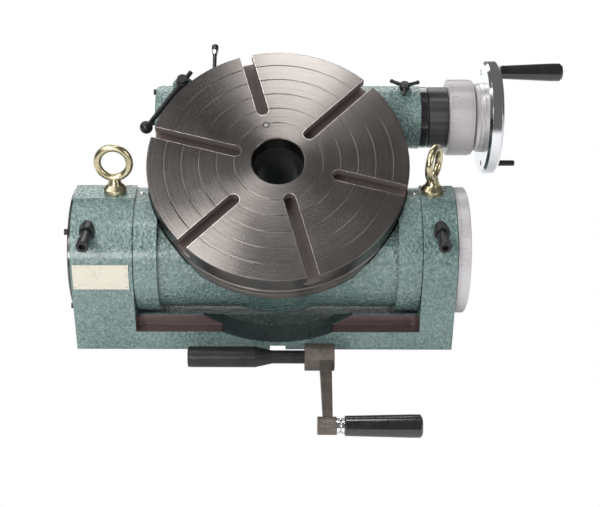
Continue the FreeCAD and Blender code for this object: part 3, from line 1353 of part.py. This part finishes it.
node(clamp_stud(), "clamp_stud")
node(clamp_lever(), "clamp_lever")
node(arm_knob(), "arm_knob")
node(plunger(), "plunger")


# Loose crank, leaning from its hub to its grip as it lies on the floor

def on_crank(x, out):
    """Point on the crank at a distance from the socket's axis towards the grip."""
    out = sized(out)
    return (x, -crank_y - out * math.cos(math.radians(crank_lean)), crank_hub - out * crank_lean_sine)


def crank_tube():
    """Black crank tube with a square socket."""
    start = -crank_start
    thick_end = start + socket_length
    thin = thick_end + tube_taper
    end = start + tube_length
    points = [(0, start), (socket_radius - 1, start), (socket_radius, start + 1), (socket_radius, thick_end),
              (tube_radius, thin), (tube_radius, end), (0, end)]
    blank = turned("crank_tube_turned", points, "x")
    half = socket_square / 2
    socket = block("crank_tube_socket", (start - 1, start + socket_depth), (-half, half), (-half, half))
    return place(cut("crank_tube", blank, [socket]), on_crank(0, 0), (1, 0, 0), crank_lean)


def crank_arm():
    """Cast crank arm: hub, tapered flat arm and boss."""
    hub_start = tube_length - crank_start - crank_hub_length + 3
    hub_end = hub_start + crank_hub_length
    middle = hub_end - crank_arm_width / 2 - 3
    boss_end = hub_end - 2
    hub = cylinder("crank_arm_hub", crank_hub, hub_start, hub_end, "x")
    boss = cylinder("crank_arm_boss", crank_boss, boss_end - crank_boss_length, boss_end, "x", (-crank_reach, 0))
    wide, narrow = crank_arm_width / 2, crank_arm_width / 2 - 2
    body = doc.addObject("PartDesign::Body", "crank_arm_bar")
    sketch = outline(body, "crank_arm_outline", "XY_Plane",
                     [(middle - wide, 0), (middle - narrow - 1, -crank_reach), (middle + narrow - 1, -crank_reach),
                      (middle + wide, 0)])
    pad = body.newObject("PartDesign::Pad", "crank_arm_pad")
    pad.Profile = sketch
    pad.Midplane = True
    pad.setExpression("Length", crank_arm_thick.text)
    bore = cylinder("crank_arm_bore", tube_radius + 0.02, hub_start - 1, tube_length - crank_start, "x")
    bolt_bore = cylinder("crank_arm_bolt_bore", grip_bolt_radius + 0.02, boss_end - crank_boss_length - 1,
                         boss_end + 1, "x", (-crank_reach, 0))
    arm = cut("crank_arm", united("crank_arm_blank", [hub, boss, body]), [bore, bolt_bore])
    return place(arm, on_crank(0, 0), (1, 0, 0), crank_lean)


crank_boss_end = tube_length - crank_start + 1


def crank_bolt():
    """Bolt of the crank grip with its bright double collar."""
    start = crank_boss_end
    end = start + crank_collar_length + round_gap + crank_grip_length
    collar = start + crank_collar_length
    points = [(0, start - crank_boss_length + 1), (grip_bolt_radius, start - crank_boss_length + 1),
              (grip_bolt_radius, start), (crank_collar, start), (crank_collar, start + 3),
              (crank_collar - 2, start + 4), (crank_collar, start + 5), (crank_collar, collar),
              (grip_bolt_radius, collar), (grip_bolt_radius, end - 6), (grip_bolt_radius + 3, end - 6),
              (grip_bolt_radius + 3, end - 1), (0, end - 1)]
    return place(turned("crank_bolt", points, "x"), on_crank(0, crank_reach))


def crank_grip():
    """Black turning grip of the crank."""
    start = crank_boss_end + crank_collar_length + round_gap
    end = start + crank_grip_length
    bore = grip_bolt_radius + round_gap
    points = [(bore, start), (crank_grip_thin - 1, start), (crank_grip_thin, start + 1),
              (crank_grip_thick, end - 10), (crank_grip_thick, end - 2), (crank_grip_thick - 2, end),
              (bore + 3.2, end), (bore + 3.2, end - 6 - round_gap), (bore, end - 6 - round_gap)]
    return place(turned("crank_grip", points, "x"), on_crank(0, crank_reach))


node(crank_tube(), "crank_tube")
node(crank_arm(), "crank_arm")
node(crank_bolt(), "crank_bolt")
node(crank_grip(), "crank_grip")


# Checks and export

doc.recompute()
for item in doc.Objects:
    if "Invalid" in item.State or "Error" in item.State:
        raise RuntimeError(f"{item.Name} is {item.State}")
for item in nodes:
    if item.Shape.isNull() or not item.Shape.isValid():
        raise RuntimeError(f"{item.Label} has no valid shape")
    if item.Label in [other.Label for other in nodes if other is not item]:
        raise RuntimeError(f"{item.Label} is named twice")
for item in nodes:
    item.Shape.exportStep(f"parts/{item.Label}.step")
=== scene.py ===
# Looks of the tilting rotary table: finishes, engraved scales, rivets, a flange and a plain studio round it.

import json
import math

import bmesh
import bpy
from mathutils import Matrix, Vector


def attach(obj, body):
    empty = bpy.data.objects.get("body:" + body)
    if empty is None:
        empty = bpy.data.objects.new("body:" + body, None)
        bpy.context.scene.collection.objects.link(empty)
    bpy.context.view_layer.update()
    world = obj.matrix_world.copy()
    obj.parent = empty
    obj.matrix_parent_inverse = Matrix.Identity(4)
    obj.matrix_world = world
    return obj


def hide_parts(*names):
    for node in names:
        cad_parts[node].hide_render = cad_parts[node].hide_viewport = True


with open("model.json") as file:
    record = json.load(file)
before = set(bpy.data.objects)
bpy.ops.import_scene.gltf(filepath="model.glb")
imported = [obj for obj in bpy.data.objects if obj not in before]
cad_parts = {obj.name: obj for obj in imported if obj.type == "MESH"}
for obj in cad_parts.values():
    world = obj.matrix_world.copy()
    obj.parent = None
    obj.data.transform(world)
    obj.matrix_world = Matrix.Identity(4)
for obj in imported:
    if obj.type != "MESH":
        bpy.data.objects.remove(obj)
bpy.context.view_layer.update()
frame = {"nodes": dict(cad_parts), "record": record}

# Places that the CAD gives, in metres

AXIS = 0.0925
TILT = math.radians(35)
TABLE_BACK = 0.0685
WORM_BACK = 0.175
WORM_UP = 0.014
TO_HEAD = Matrix.Translation((0, 0, AXIS)) @ Matrix.Rotation(TILT, 4, "X")
TO_TABLE = TO_HEAD @ Matrix.Translation((0, TABLE_BACK, 0))
TO_WORM = TO_HEAD @ Matrix.Translation((0, WORM_BACK, WORM_UP))


# Shader values and finishes

class Value:
    """A shader socket that takes part in sums and comparisons."""

    def __init__(self, finish, socket):
        self.finish = finish
        self.socket = socket

    def math(self, operation, *others):
        """The result of a Math node on this value and the others."""
        return self.finish.node("ShaderNodeMath", {"operation": operation}, self, *others)

    def __add__(self, other):
        return self.math("ADD", other)

    def __radd__(self, other):
        return self.math("ADD", other)

    def __sub__(self, other):
        return self.math("SUBTRACT", other)

    def __rsub__(self, other):
        return self.finish.node("ShaderNodeMath", {"operation": "SUBTRACT"}, other, self)

    def __mul__(self, other):
        return self.math("MULTIPLY", other)

    def __rmul__(self, other):
        return self.math("MULTIPLY", other)

    def __truediv__(self, other):
        return self.math("DIVIDE", other)

    def __gt__(self, other):
        return self.math("GREATER_THAN", other)

    def __lt__(self, other):
        return self.math("LESS_THAN", other)


class Finish:
    """A material whose nodes are made from expressions."""

    def __init__(self, name):
        self.material = bpy.data.materials.new(name)
        self.material.use_nodes = True
        self.tree = self.material.node_tree
        self.shader = self.tree.nodes["Principled BSDF"]

    def node(self, kind, settings, *values, out=0, **named):
        """Add a node, set it up, feed its sockets and return one of its outputs."""
        made = self.tree.nodes.new(kind)
        for key, value in settings.items():
            if key == "stops":
                ramp = made.color_ramp
                while len(ramp.elements) < len(value):
                    ramp.elements.new(1.0)
                for element, (place, colour) in zip(ramp.elements, value):
                    element.position = place
                    element.color = (*colour, 1) if len(colour) == 3 else colour
            else:
                setattr(made, key, value)
        feeds = list(enumerate(values)) + [(key.replace("_", " "), value) for key, value in named.items()]
        for key, value in feeds:
            self.feed(made.inputs[key], value)
        return Value(self, made.outputs[out])

    def feed(self, socket, value):
        """Link a value to a socket, or set the socket's own number."""
        if isinstance(value, Value):
            self.tree.links.new(value.socket, socket)
        elif value is not None:
            socket.default_value = value

    def set(self, **named):
        """Set or link the shader's sockets, such as Base_Color."""
        for key, value in named.items():
            self.feed(self.shader.inputs[key.replace("_", " ")], value)
        return self

    def place(self):
        """The piece's own object coordinates."""
        return self.node("ShaderNodeTexCoord", {}, out="Object")

    def parts(self, vector):
        """The three parts of a vector."""
        split = self.tree.nodes.new("ShaderNodeSeparateXYZ")
        self.feed(split.inputs[0], vector)
        return [Value(self, output) for output in split.outputs]

    def noise(self, vector, scale, detail=2.0, roughness=0.5):
        """Smooth noise from 0 to 1."""
        return self.node("ShaderNodeTexNoise", {}, Vector=vector, Scale=scale, Detail=detail,
                         Roughness=roughness)

    def ramp(self, value, *stops):
        """A colour for each value."""
        return self.node("ShaderNodeValToRGB", {"stops": stops}, value)

    def mix(self, factor, first, second):
        """Mix two colours."""
        made = self.tree.nodes.new("ShaderNodeMix")
        made.data_type = "RGBA"
        self.feed(made.inputs[0], factor)
        for socket, colour in ((made.inputs[6], first), (made.inputs[7], second)):
            if not isinstance(colour, Value) and len(colour) == 3:
                colour = (*colour, 1)
            self.feed(socket, colour)
        return Value(self, made.outputs[2])

    def between(self, value, low, high):
        """1 where the value lies between two numbers."""
        return (value > low) * (value < high)

    def soft_edge(self, radius):
        """A normal that rounds the sharp edges."""
        return self.node("ShaderNodeBevel", {"samples": 4}, Radius=radius)

    def bump(self, height, strength, distance, normal=None):
        """A normal from a height."""
        return self.node("ShaderNodeBump", {}, Strength=strength, Distance=distance, Height=height,
                         Normal=normal)


def hammered_enamel(name, edge=0.0016, machined=None):
    """Grey-green hammered enamel: small dimples, pale and dark flecks, and a tone that is darker in the
    hollows.
    """
    finish = Finish(name)
    seen = finish.place()
    warp = finish.noise(seen, 260, 3, 0.6)
    cells = finish.node("ShaderNodeTexVoronoi", {"feature": "SMOOTH_F1"}, Vector=seen, Scale=300,
                        Smoothness=0.5)
    flecks = finish.noise(seen, 620, 3, 0.65)
    broad = finish.noise(seen, 14, 3, 0.55)
    # The tone follows the same noise as the dimples' height, so it is darker in the hollows.
    tone = finish.ramp(warp * 0.70 + broad * 0.30,
                       (0.32, (0.026, 0.060, 0.055)), (0.46, (0.080, 0.138, 0.128)),
                       (0.58, (0.130, 0.195, 0.183)), (0.72, (0.23, 0.31, 0.29)))
    pale = finish.ramp(flecks, (0.60, (0, 0, 0)), (0.72, (1, 1, 1)))
    tone = finish.mix(pale.math("MULTIPLY", 0.40), tone, (0.45, 0.53, 0.51))
    dark = finish.ramp(flecks, (0.27, (1, 1, 1)), (0.40, (0, 0, 0)))
    tone = finish.mix(dark.math("MULTIPLY", 0.75), tone, (0.012, 0.030, 0.027))
    height = cells * -0.7 + warp * 0.9
    rough = finish.node("ShaderNodeMapRange", {}, warp, 0.3, 0.7, 0.07, 0.16)
    if machined:
        mask = machined(finish, seen)
        height = height * (1 - mask)
        drawn = finish.node("ShaderNodeMapping", {"vector_type": "POINT"}, Vector=seen, Scale=(30, 900, 900))
        scrape = finish.noise(drawn, 1, 3)
        iron = finish.mix(scrape, (0.045, 0.026, 0.027), (0.150, 0.098, 0.096))
        tone = finish.mix(mask, tone, iron)
        rough = rough * (1 - mask) + mask * 0.42
        finish.set(Metallic=mask * 0.35)
        # Painted shade: the rim relief in the front of the base is darkened almost to black.
        tone = finish.mix(relief_shade_mask(finish, seen) * 0.8, tone, (0.008, 0.011, 0.011))
    normal = finish.bump(height, 1.0, 0.0016, finish.soft_edge(edge))
    finish.set(Base_Color=tone, Roughness=rough, Normal=normal)
    finish.shader.inputs["Specular IOR Level"].default_value = 0.75
    finish.shader.inputs["Coat Weight"].default_value = 0.3
    finish.shader.inputs["Coat Roughness"].default_value = 0.18
    return finish.material


def turned_metal(name, tones, roughness=0.3, grain=0.1, metallic=1.0, edge=0.0004, marks=None, stretch=0.85):
    """Turned metal: faint rings round the piece's own axis, and highlights drawn out across them."""
    finish = Finish(name)
    seen = finish.place()
    x, y, z = finish.parts(seen)
    radius = (x * x + y * y).math("SQRT")
    rings = finish.node("ShaderNodeTexNoise", {"noise_dimensions": "1D"}, W=radius * 560, Scale=1.0,
                        Detail=1.0)
    bands = finish.node("ShaderNodeTexNoise", {"noise_dimensions": "1D"}, W=z * 560 + 9, Scale=1.0,
                        Detail=3.0)
    stain = finish.noise(seen, 22, 4, 0.6)
    fine = finish.noise(seen, 900, 2)
    tone = finish.ramp(stain * 0.5 + rings * 0.35 + fine * 0.15, (0.34, tones[0]), (0.66, tones[1]))
    rough = finish.node("ShaderNodeMapRange", {}, stain * 0.6 + rings * 0.4, 0.3, 0.7, roughness - 0.02,
                        roughness + 0.03)
    if marks:
        tone, rough, metallic = marks(finish, (x, y, z), radius, tone, rough, metallic)
    normal = finish.bump(rings + bands, grain, 0.0003, finish.soft_edge(edge))
    finish.set(Base_Color=tone, Roughness=rough, Metallic=metallic, Normal=normal)
    finish.shader.inputs["Anisotropic"].default_value = stretch
    finish.shader.inputs["Anisotropic Rotation"].default_value = 0.25
    return finish.material


def plain_metal(name, tones, roughness=0.3, metallic=1.0, edge=0.0005, grain=500, bump=0.15):
    """Small steel or brass piece with a slight grain and softened edges."""
    finish = Finish(name)
    seen = finish.place()
    patch = finish.noise(seen, 60, 4, 0.6)
    fine = finish.noise(seen, grain, 3)
    tone = finish.ramp(patch * 0.6 + fine * 0.4, (0.35, tones[0]), (0.65, tones[1]))
    rough = finish.node("ShaderNodeMapRange", {}, fine, 0.3, 0.7, roughness - 0.07, roughness + 0.08)
    normal = finish.bump(fine, bump, 0.0004, finish.soft_edge(edge))
    finish.set(Base_Color=tone, Roughness=rough, Metallic=metallic, Normal=normal)
    return finish.material


def moulded(name, tones, roughness=0.14, edge=0.0008):
    """Glossy black plastic or enamel with faint wear."""
    finish = Finish(name)
    seen = finish.place()
    wear = finish.noise(seen, 90, 4, 0.6)
    fine = finish.noise(seen, 1400, 2)
    tone = finish.mix(wear, tones[0], tones[1])
    rough = finish.node("ShaderNodeMapRange", {}, wear, 0.35, 0.7, roughness, roughness + 0.14)
    normal = finish.bump(fine, 0.06, 0.0003, finish.soft_edge(edge))
    finish.set(Base_Color=tone, Roughness=rough, Normal=normal)
    finish.shader.inputs["Coat Weight"].default_value = 0.5
    finish.shader.inputs["Coat Roughness"].default_value = 0.06
    return finish.material


# Where the base's finish changes, and where painted shade darkens the rim relief, in metres

LEDGE_FRONT = (-0.0732, -0.0568)
LEDGE_BACK = (0.1483, 0.1648)
LEDGE_HEIGHT = (0.0236, 0.0372)
LEDGE_ACROSS = (-0.1634, 0.1634)
RELIEF_CENTRE = 0.161
RELIEF_RADIUS = 0.1513
RELIEF_BACK = -0.0355

# Where the table's finish changes, and where its painted highlight and painted shade lie, from its own axis,
# in metres

FACE_LOW = 0.0884
SLOT_HIGH = 0.0883
TABLE_EDGE = 0.1492
BORE_EDGE = 0.0312
SLOT_TURN = math.radians(45)
SLOT_STEP = math.radians(60)
SLOT_LONG_END = 0.051
SLOT_SHORTER = 0.020
RUBBED_HIGHLIGHT_HALF = 0.0077
PIN_CIRCLE = 0.05
PIN_TURN = math.radians(106)
PIN_SHADE_RING = (0.0024, 0.0040)


def ledge_mask(finish, seen):
    """Where the base is machined: the two clamping ledges and the edges round them."""
    x, y, z = finish.parts(seen)
    front = finish.between(y, *LEDGE_FRONT)
    back = finish.between(y, *LEDGE_BACK)
    height = finish.between(z, *LEDGE_HEIGHT)
    across = finish.between(x, *LEDGE_ACROSS)
    return (front + back).math("MINIMUM", 1.0) * height * across


def relief_shade_mask(finish, seen):
    """Where painted shade darkens the rim relief in the front of the base."""
    x, y, z = finish.parts(seen)
    up = z - RELIEF_CENTRE
    return ((x * x + up * up).math("SQRT") < RELIEF_RADIUS) * (y < RELIEF_BACK)


def table_marks(finish, spot, radius, tone, rough, metallic):
    """Dull T-slots; bright slot edges, partly wear and partly a painted highlight of their chamfers; and a
    dark ring of painted shade round the locating pin.
    """
    x, y, z = spot
    turn = (y.math("ARCTAN2", x) - SLOT_TURN) / SLOT_STEP
    whole = turn.math("ROUND")
    fold = (turn - whole) * SLOT_STEP
    across = fold.math("SINE") * radius
    inner = (whole + 6).math("MODULO", 2.0) * SLOT_SHORTER + SLOT_LONG_END
    past = (inner - fold.math("COSINE") * radius).math("MAXIMUM", 0.0)
    off = (across * across + past * past).math("SQRT")
    face = z > FACE_LOW
    rubbed_and_highlight = (off < RUBBED_HIGHLIGHT_HALF) * face * (radius < TABLE_EDGE)
    slots = (z < SLOT_HIGH) * (radius < TABLE_EDGE) * (radius > BORE_EDGE)
    pin_x = x - PIN_CIRCLE * math.cos(PIN_TURN)
    pin_y = y - PIN_CIRCLE * math.sin(PIN_TURN)
    pin_off = (pin_x * pin_x + pin_y * pin_y).math("SQRT")
    pin_gap_shade = finish.between(pin_off, *PIN_SHADE_RING) * face
    tone = finish.mix(slots * 0.9, tone, (0.13, 0.100, 0.090))
    # Partly wear, partly painted highlight: a bright band along each slot's edge stands in for the chamfer's
    # highlight.
    tone = finish.mix(rubbed_and_highlight * 0.6, tone, (0.62, 0.59, 0.57))
    # Painted shade: a near-black ring round the locating pin stands in for the shade in the gap round it.
    tone = finish.mix(pin_gap_shade * 0.9, tone, (0.012, 0.011, 0.010))
    return tone, rough + slots * 0.25, 1 - slots * 0.85 - pin_gap_shade * 0.8


def degree_marks(low, high, count, width):
    """Marks engraved round an axis between two heights, longer at each fifth and tenth."""
    def engrave(finish, spot, radius, tone, rough, metallic):
        x, y, z = spot
        angle = y.math("ARCTAN2", x) * (count / (2 * math.pi)) + count
        whole = angle.math("ROUND")
        off = (angle - whole).math("ABSOLUTE") * radius * (2 * math.pi / count)
        fifth = whole.math("MODULO", 5.0) < 0.5
        tenth = whole.math("MODULO", 10.0) < 0.5
        reach = low + (high - low) * 0.45 + fifth * ((high - low) * 0.25) + tenth * ((high - low) * 0.22)
        mark = (off < width) * (z > low) * (z < reach)
        return finish.mix(mark * 0.8, tone, (0.02, 0.018, 0.018)), rough, metallic
    return engrave


enamel_base = hammered_enamel("hammered_enamel_base", machined=ledge_mask)
enamel_head = hammered_enamel("hammered_enamel_head")
iron_table = turned_metal("turned_iron_table", ((0.135, 0.123, 0.116), (0.185, 0.170, 0.161)), 0.22, 0.005,
                          edge=0.0008, marks=table_marks, stretch=0.75)
iron_ring = turned_metal("turned_iron_ring", ((0.15, 0.13, 0.12), (0.26, 0.23, 0.21)),
                         marks=degree_marks(0.0505, 0.0600, 360, 0.00016))
iron_platform = turned_metal("turned_iron_platform", ((0.20, 0.19, 0.18), (0.32, 0.30, 0.28)))
steel_spindle = turned_metal("turned_steel_spindle", ((0.05, 0.048, 0.046), (0.10, 0.097, 0.094)), 0.32,
                             metallic=0.6)
collar_metal = turned_metal("turned_aluminium_collar", ((0.40, 0.37, 0.375), (0.48, 0.455, 0.46)), 0.42,
                            metallic=0.45, marks=degree_marks(0.2068, 0.2168, 100, 0.00018), stretch=0.5)
scale_metal = turned_metal("turned_aluminium_scale", ((0.44, 0.415, 0.425), (0.55, 0.535, 0.54)), 0.42,
                           metallic=0.45, marks=degree_marks(0.2028, 0.2118, 360, 0.00016), stretch=0.5)
wheel_chrome = turned_metal("polished_chrome_wheel", ((0.60, 0.60, 0.61), (0.72, 0.72, 0.73)), 0.12, 0.02,
                            stretch=0.0)
wheel_face = turned_metal("turned_wheel_face", ((0.50, 0.48, 0.485), (0.62, 0.60, 0.605)), 0.36,
                          metallic=0.6, stretch=0.5)
sleeve_dark = turned_metal("dark_turned_sleeve", ((0.030, 0.030, 0.031), (0.060, 0.060, 0.062)), 0.34,
                           metallic=0.4)
black_steel = plain_metal("black_oxide_steel", ((0.012, 0.012, 0.013), (0.030, 0.029, 0.030)), 0.33, 0.5)
bright_steel = plain_metal("ground_steel", ((0.42, 0.41, 0.40), (0.58, 0.57, 0.56)), 0.26)
pin_steel = plain_metal("dull_pin_steel", ((0.20, 0.185, 0.18), (0.30, 0.28, 0.27)), 0.4)
chrome = plain_metal("bright_chrome", ((0.70, 0.70, 0.71), (0.80, 0.80, 0.81)), 0.12, bump=0.04)
bronze = plain_metal("bearing_bronze", ((0.42, 0.27, 0.11), (0.60, 0.42, 0.19)), 0.3)
gilt = plain_metal("yellow_zinc", ((0.34, 0.29, 0.17), (0.58, 0.52, 0.36)), 0.26, grain=140, bump=0.06)
crank_iron = plain_metal("cast_crank_iron", ((0.085, 0.070, 0.060), (0.150, 0.128, 0.112)), 0.42, 0.55,
                         0.0016, 300, 0.5)
black_gloss = moulded("black_gloss", ((0.006, 0.006, 0.007), (0.016, 0.015, 0.016)))
cream = moulded("cream_enamel_plate", ((0.46, 0.43, 0.35), (0.55, 0.52, 0.43)), 0.25, 0.0003)

# How far behind the tilt axis the plunger's bright band lies, in metres

PLUNGER_BAND = (0.2570, 0.2627)


def plunger_steel():
    """Black plunger with a bright band below its cap."""
    finish = Finish("banded_plunger_steel")
    x, y, z = finish.parts(finish.place())
    out = y * math.cos(TILT) + (z - AXIS) * math.sin(TILT)
    band = finish.between(out, *PLUNGER_BAND)
    tone = finish.mix(band, (0.018, 0.018, 0.019), (0.72, 0.72, 0.72))
    finish.set(Base_Color=tone, Metallic=band * 0.6 + 0.4, Roughness=0.24, Normal=finish.soft_edge(0.0004))
    return finish.material


FINISHES = {
    "base_casting": enamel_base, "tilt_gear_cover": black_gloss, "cover_screws": black_steel,
    "left_trunnion_bush": bronze, "right_trunnion_bush": bronze, "left_eye_bolt": gilt,
    "right_eye_bolt": gilt,
    "left_lock_screw": black_steel, "right_lock_screw": black_steel, "lock_rings": black_steel,
    "nameplate": cream, "tilt_worm_bushes": bronze, "tilt_worm_cap": black_steel, "tilt_worm": bright_steel,
    "tilt_wheel": bronze, "left_trunnion_shaft": bright_steel, "right_trunnion_shaft": bright_steel,
    "trunnion_nut": black_steel, "tilt_scale_ring": scale_metal, "scale_ring_screws": black_steel,
    "tilting_body": enamel_head, "platform": iron_platform, "thrust_ring": bronze,
    "lower_bearing": bright_steel,
    "bottom_cover": black_steel, "bottom_screws": black_steel, "left_worm_bush": bronze,
    "right_worm_bush": bronze, "worm_end_cap": enamel_head, "end_cap_screws": black_steel,
    "bearing_retainer": black_gloss, "index_sleeve": sleeve_dark, "body_oilers": bright_steel,
    "table": iron_table,
    "graduated_ring": iron_ring, "ring_screws": black_steel, "spindle": steel_spindle, "worm_wheel": bronze,
    "spindle_nut": black_steel, "locating_pin": pin_steel, "table_worm": bright_steel,
    "micrometer_collar": collar_metal, "handwheel": wheel_chrome, "handwheel_nut": black_steel,
    "handwheel_grip": black_gloss, "grip_bolt": bright_steel, "handwheel_pin": black_steel,
    "clamp_stud": black_steel, "clamp_lever": black_steel, "arm_knob": black_steel,
    "plunger": plunger_steel(),
    "crank_tube": black_steel, "crank_arm": crank_iron, "crank_bolt": chrome, "crank_grip": black_gloss,
}

BODY_OF = {}
for body, names in frame["record"]["behaviour"]["bodies"].items():
    for name in names:
        BODY_OF[name] = body


def paint(obj, material):
    """Give an object one material."""
    obj.data.materials.clear()
    obj.data.materials.append(material)


for name, node in frame["nodes"].items():
    paint(node, FINISHES[name])


# Turned pieces, shown in their own frames

def turned_copy(name, place):
    """A turned CAD piece in the frame of its own axis, where its highlights follow the lathe marks."""
    data = frame["nodes"][name].data.copy()
    data.transform(place.inverted())
    obj = bpy.data.objects.new(f"{name}_shown", data)
    bpy.context.scene.collection.objects.link(obj)
    obj.matrix_world = place
    bpy.context.view_layer.update()
    paint(obj, FINISHES[name])
    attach(obj, BODY_OF[name])
    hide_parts(name)


ALONG_X = Matrix.Rotation(math.pi / 2, 4, "Y")
for name in ("table", "graduated_ring", "platform", "spindle"):
    turned_copy(name, TO_TABLE)
for name in ("micrometer_collar", "handwheel", "index_sleeve"):
    turned_copy(name, TO_WORM @ ALONG_X)
turned_copy("tilt_scale_ring", Matrix.Translation((0, 0, AXIS)) @ ALONG_X)


# New pieces

def piece(name, mesh, body, material):
    """Make a bmesh into a finished piece that rides on a body."""
    bmesh.ops.remove_doubles(mesh, verts=mesh.verts, dist=1e-7)
    bmesh.ops.recalc_face_normals(mesh, faces=mesh.faces)
    data = bpy.data.meshes.new(name)
    mesh.to_mesh(data)
    mesh.free()
    obj = bpy.data.objects.new(name, data)
    bpy.context.scene.collection.objects.link(obj)
    data.shade_smooth()
    data.set_sharp_from_angle(angle=math.radians(32))
    paint(obj, material)
    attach(obj, body)
    return obj


def plate_rivets():
    """Four domed rivets at the corners of the bare nameplate."""
    mesh = bmesh.new()
    pedestal_radius = 0.0735
    plate_thick = 0.0006
    radius = pedestal_radius + plate_thick
    columns = (-0.2285, -0.1710)
    rows = (0.0838, 0.1082)
    rivet_radius = 0.0012
    flattened = (1, 1, 0.55)
    for x in columns:
        for z in rows:
            rise = max(z - AXIS, 0)
            y = -math.sqrt(radius ** 2 - rise ** 2)
            lean = math.asin(rise / radius)
            spot = Matrix.Translation((x, y, z)) @ Matrix.Rotation(math.radians(90) - lean, 4, "X")
            dome = bmesh.ops.create_uvsphere(mesh, u_segments=16, v_segments=8, radius=rivet_radius)["verts"]
            bmesh.ops.scale(mesh, vec=flattened, verts=dome)
            bmesh.ops.transform(mesh, matrix=spot, verts=dome)
    return piece("plate_rivets", mesh, "base", bright_steel)


def turned_piece(name, points, place, body, material):
    """A solid of revolution about Z from its (radius, height) points, set in place."""
    mesh = bmesh.new()
    corners = [mesh.verts.new((radius, 0, height)) for radius, height in points]
    edges = [mesh.edges.new(pair) for pair in zip(corners, corners[1:] + corners[:1])]
    bmesh.ops.spin(mesh, geom=corners + edges, axis=(0, 0, 1), cent=(0, 0, 0), angle=2 * math.pi, steps=96)
    bmesh.ops.transform(mesh, matrix=place, verts=mesh.verts)
    return piece(name, mesh, body, material)


def wheel_flange():
    """Stepped flange on the handwheel's left face, which hides the hub behind the micrometer_collar piece.
    """
    low = 0.2384
    high = 0.2499
    hub = 0.0202
    step = 0.0410
    rim = 0.0425
    chamfer = 0.0015
    step_high = low + 0.0060
    rim_low = low + 0.0066
    points = [(hub, low), (step - chamfer, low), (step, low + chamfer), (step, step_high), (rim, rim_low),
              (rim, high), (hub, high)]
    return turned_piece("handwheel_flange", points, TO_WORM @ ALONG_X, "worm_shaft", wheel_face)


wheel_flange()
plate_rivets()


# Studio

def studio():
    """Plain pale floor, soft lamps and a white world behind."""
    bpy.ops.mesh.primitive_plane_add(size=14, location=(0, 2, -0.0004))
    floor = bpy.context.object
    floor.name = "studio_floor"
    finish = Finish("pale_floor")
    path = finish.tree.nodes.new("ShaderNodeLightPath")
    seen = Value(finish, path.outputs["Is Camera Ray"])
    glow = finish.node("ShaderNodeEmission", {}, Color=(1, 1, 1, 1), Strength=1.0)
    finish.set(Base_Color=(0.93, 0.93, 0.93, 1), Roughness=0.9)
    finish.shader.inputs["Specular IOR Level"].default_value = 0.1
    lit = Value(finish, finish.shader.outputs[0])
    blend = finish.node("ShaderNodeMixShader", {}, seen, lit, glow)
    finish.tree.links.new(blend.socket, finish.tree.nodes["Material Output"].inputs["Surface"])
    paint(floor, finish.material)

    world = bpy.context.scene.world or bpy.data.worlds.new("studio")
    bpy.context.scene.world = world
    world.use_nodes = True
    tree = world.node_tree
    tree.nodes.clear()
    path = tree.nodes.new("ShaderNodeLightPath")
    soft = tree.nodes.new("ShaderNodeBackground")
    soft.inputs["Color"].default_value = (0.93, 0.96, 1.0, 1)
    soft.inputs["Strength"].default_value = 0.45
    white = tree.nodes.new("ShaderNodeBackground")
    white.inputs["Color"].default_value = (1, 1, 1, 1)
    white.inputs["Strength"].default_value = 1.0
    dim = tree.nodes.new("ShaderNodeBackground")
    dim.inputs["Color"].default_value = (1, 0.99, 0.98, 1)
    dim.inputs["Strength"].default_value = 0.16
    mirrored = tree.nodes.new("ShaderNodeMixShader")
    tree.links.new(path.outputs["Is Glossy Ray"], mirrored.inputs[0])
    tree.links.new(soft.outputs[0], mirrored.inputs[1])
    tree.links.new(dim.outputs[0], mirrored.inputs[2])
    choose = tree.nodes.new("ShaderNodeMixShader")
    tree.links.new(path.outputs["Is Camera Ray"], choose.inputs[0])
    tree.links.new(mirrored.outputs[0], choose.inputs[1])
    tree.links.new(white.outputs[0], choose.inputs[2])
    out = tree.nodes.new("ShaderNodeOutputWorld")
    tree.links.new(choose.outputs[0], out.inputs["Surface"])

    # Each lamp's name, place, size, power and colour
    aim = Vector((0, 0, 0.12))
    lamps = (("upper_lamp", (0.055, 0.232, 2.02), 0.35, 4.6, (1, 1, 1)),
             ("lower_lamp", (-0.31, -0.45, 1.72), 0.25, 2.4, (1, 1, 1)),
             ("key_lamp", (-0.8, -1.25, 1.15), 0.6, 13, (1, 0.99, 0.98)),
             ("left_lamp", (-1.0, 0.1, 1.35), 1.0, 12, (0.98, 0.99, 1)),
             ("front_lamp", (-0.45, -1.55, 0.60), 0.3, 7, (1, 1, 1)),
             ("fill_lamp", (1.4, -1.0, 0.9), 0.8, 9, (0.97, 0.98, 1)),
             ("back_lamp", (-0.1, 1.4, 0.95), 1.0, 10, (0.97, 1, 0.98)))
    for name, place, size, power, colour in lamps:
        data = bpy.data.lights.new(name, "AREA")
        data.size = size
        data.energy = power
        data.color = colour
        lamp = bpy.data.objects.new(name, data)
        bpy.context.scene.collection.objects.link(lamp)
        lamp.location = place
        lamp.rotation_euler = (aim - Vector(place)).to_track_quat("-Z", "Y").to_euler()


def camera():
    """Camera at the photograph's angle."""
    looks_down = math.radians(29.05)
    turned_left = math.radians(0.27)
    data =bpy.data.cameras.new("photo_camera")
    data.lens = 69.9
    data.sensor_width = 36
    data.shift_x = 0.0372
    data.clip_start = 0.05
    data.clip_end = 60
    obj = bpy.data.objects.new("photo_camera", data)
    bpy.context.scene.collection.objects.link(obj)
    obj.location = (0.00536, -1.20558, 0.75652)
    obj.rotation_euler = (math.radians(90) - looks_down, 0, turned_left)
    bpy.context.scene.camera = obj


studio()
camera()
bpy.context.scene.view_settings.view_transform = "Standard"
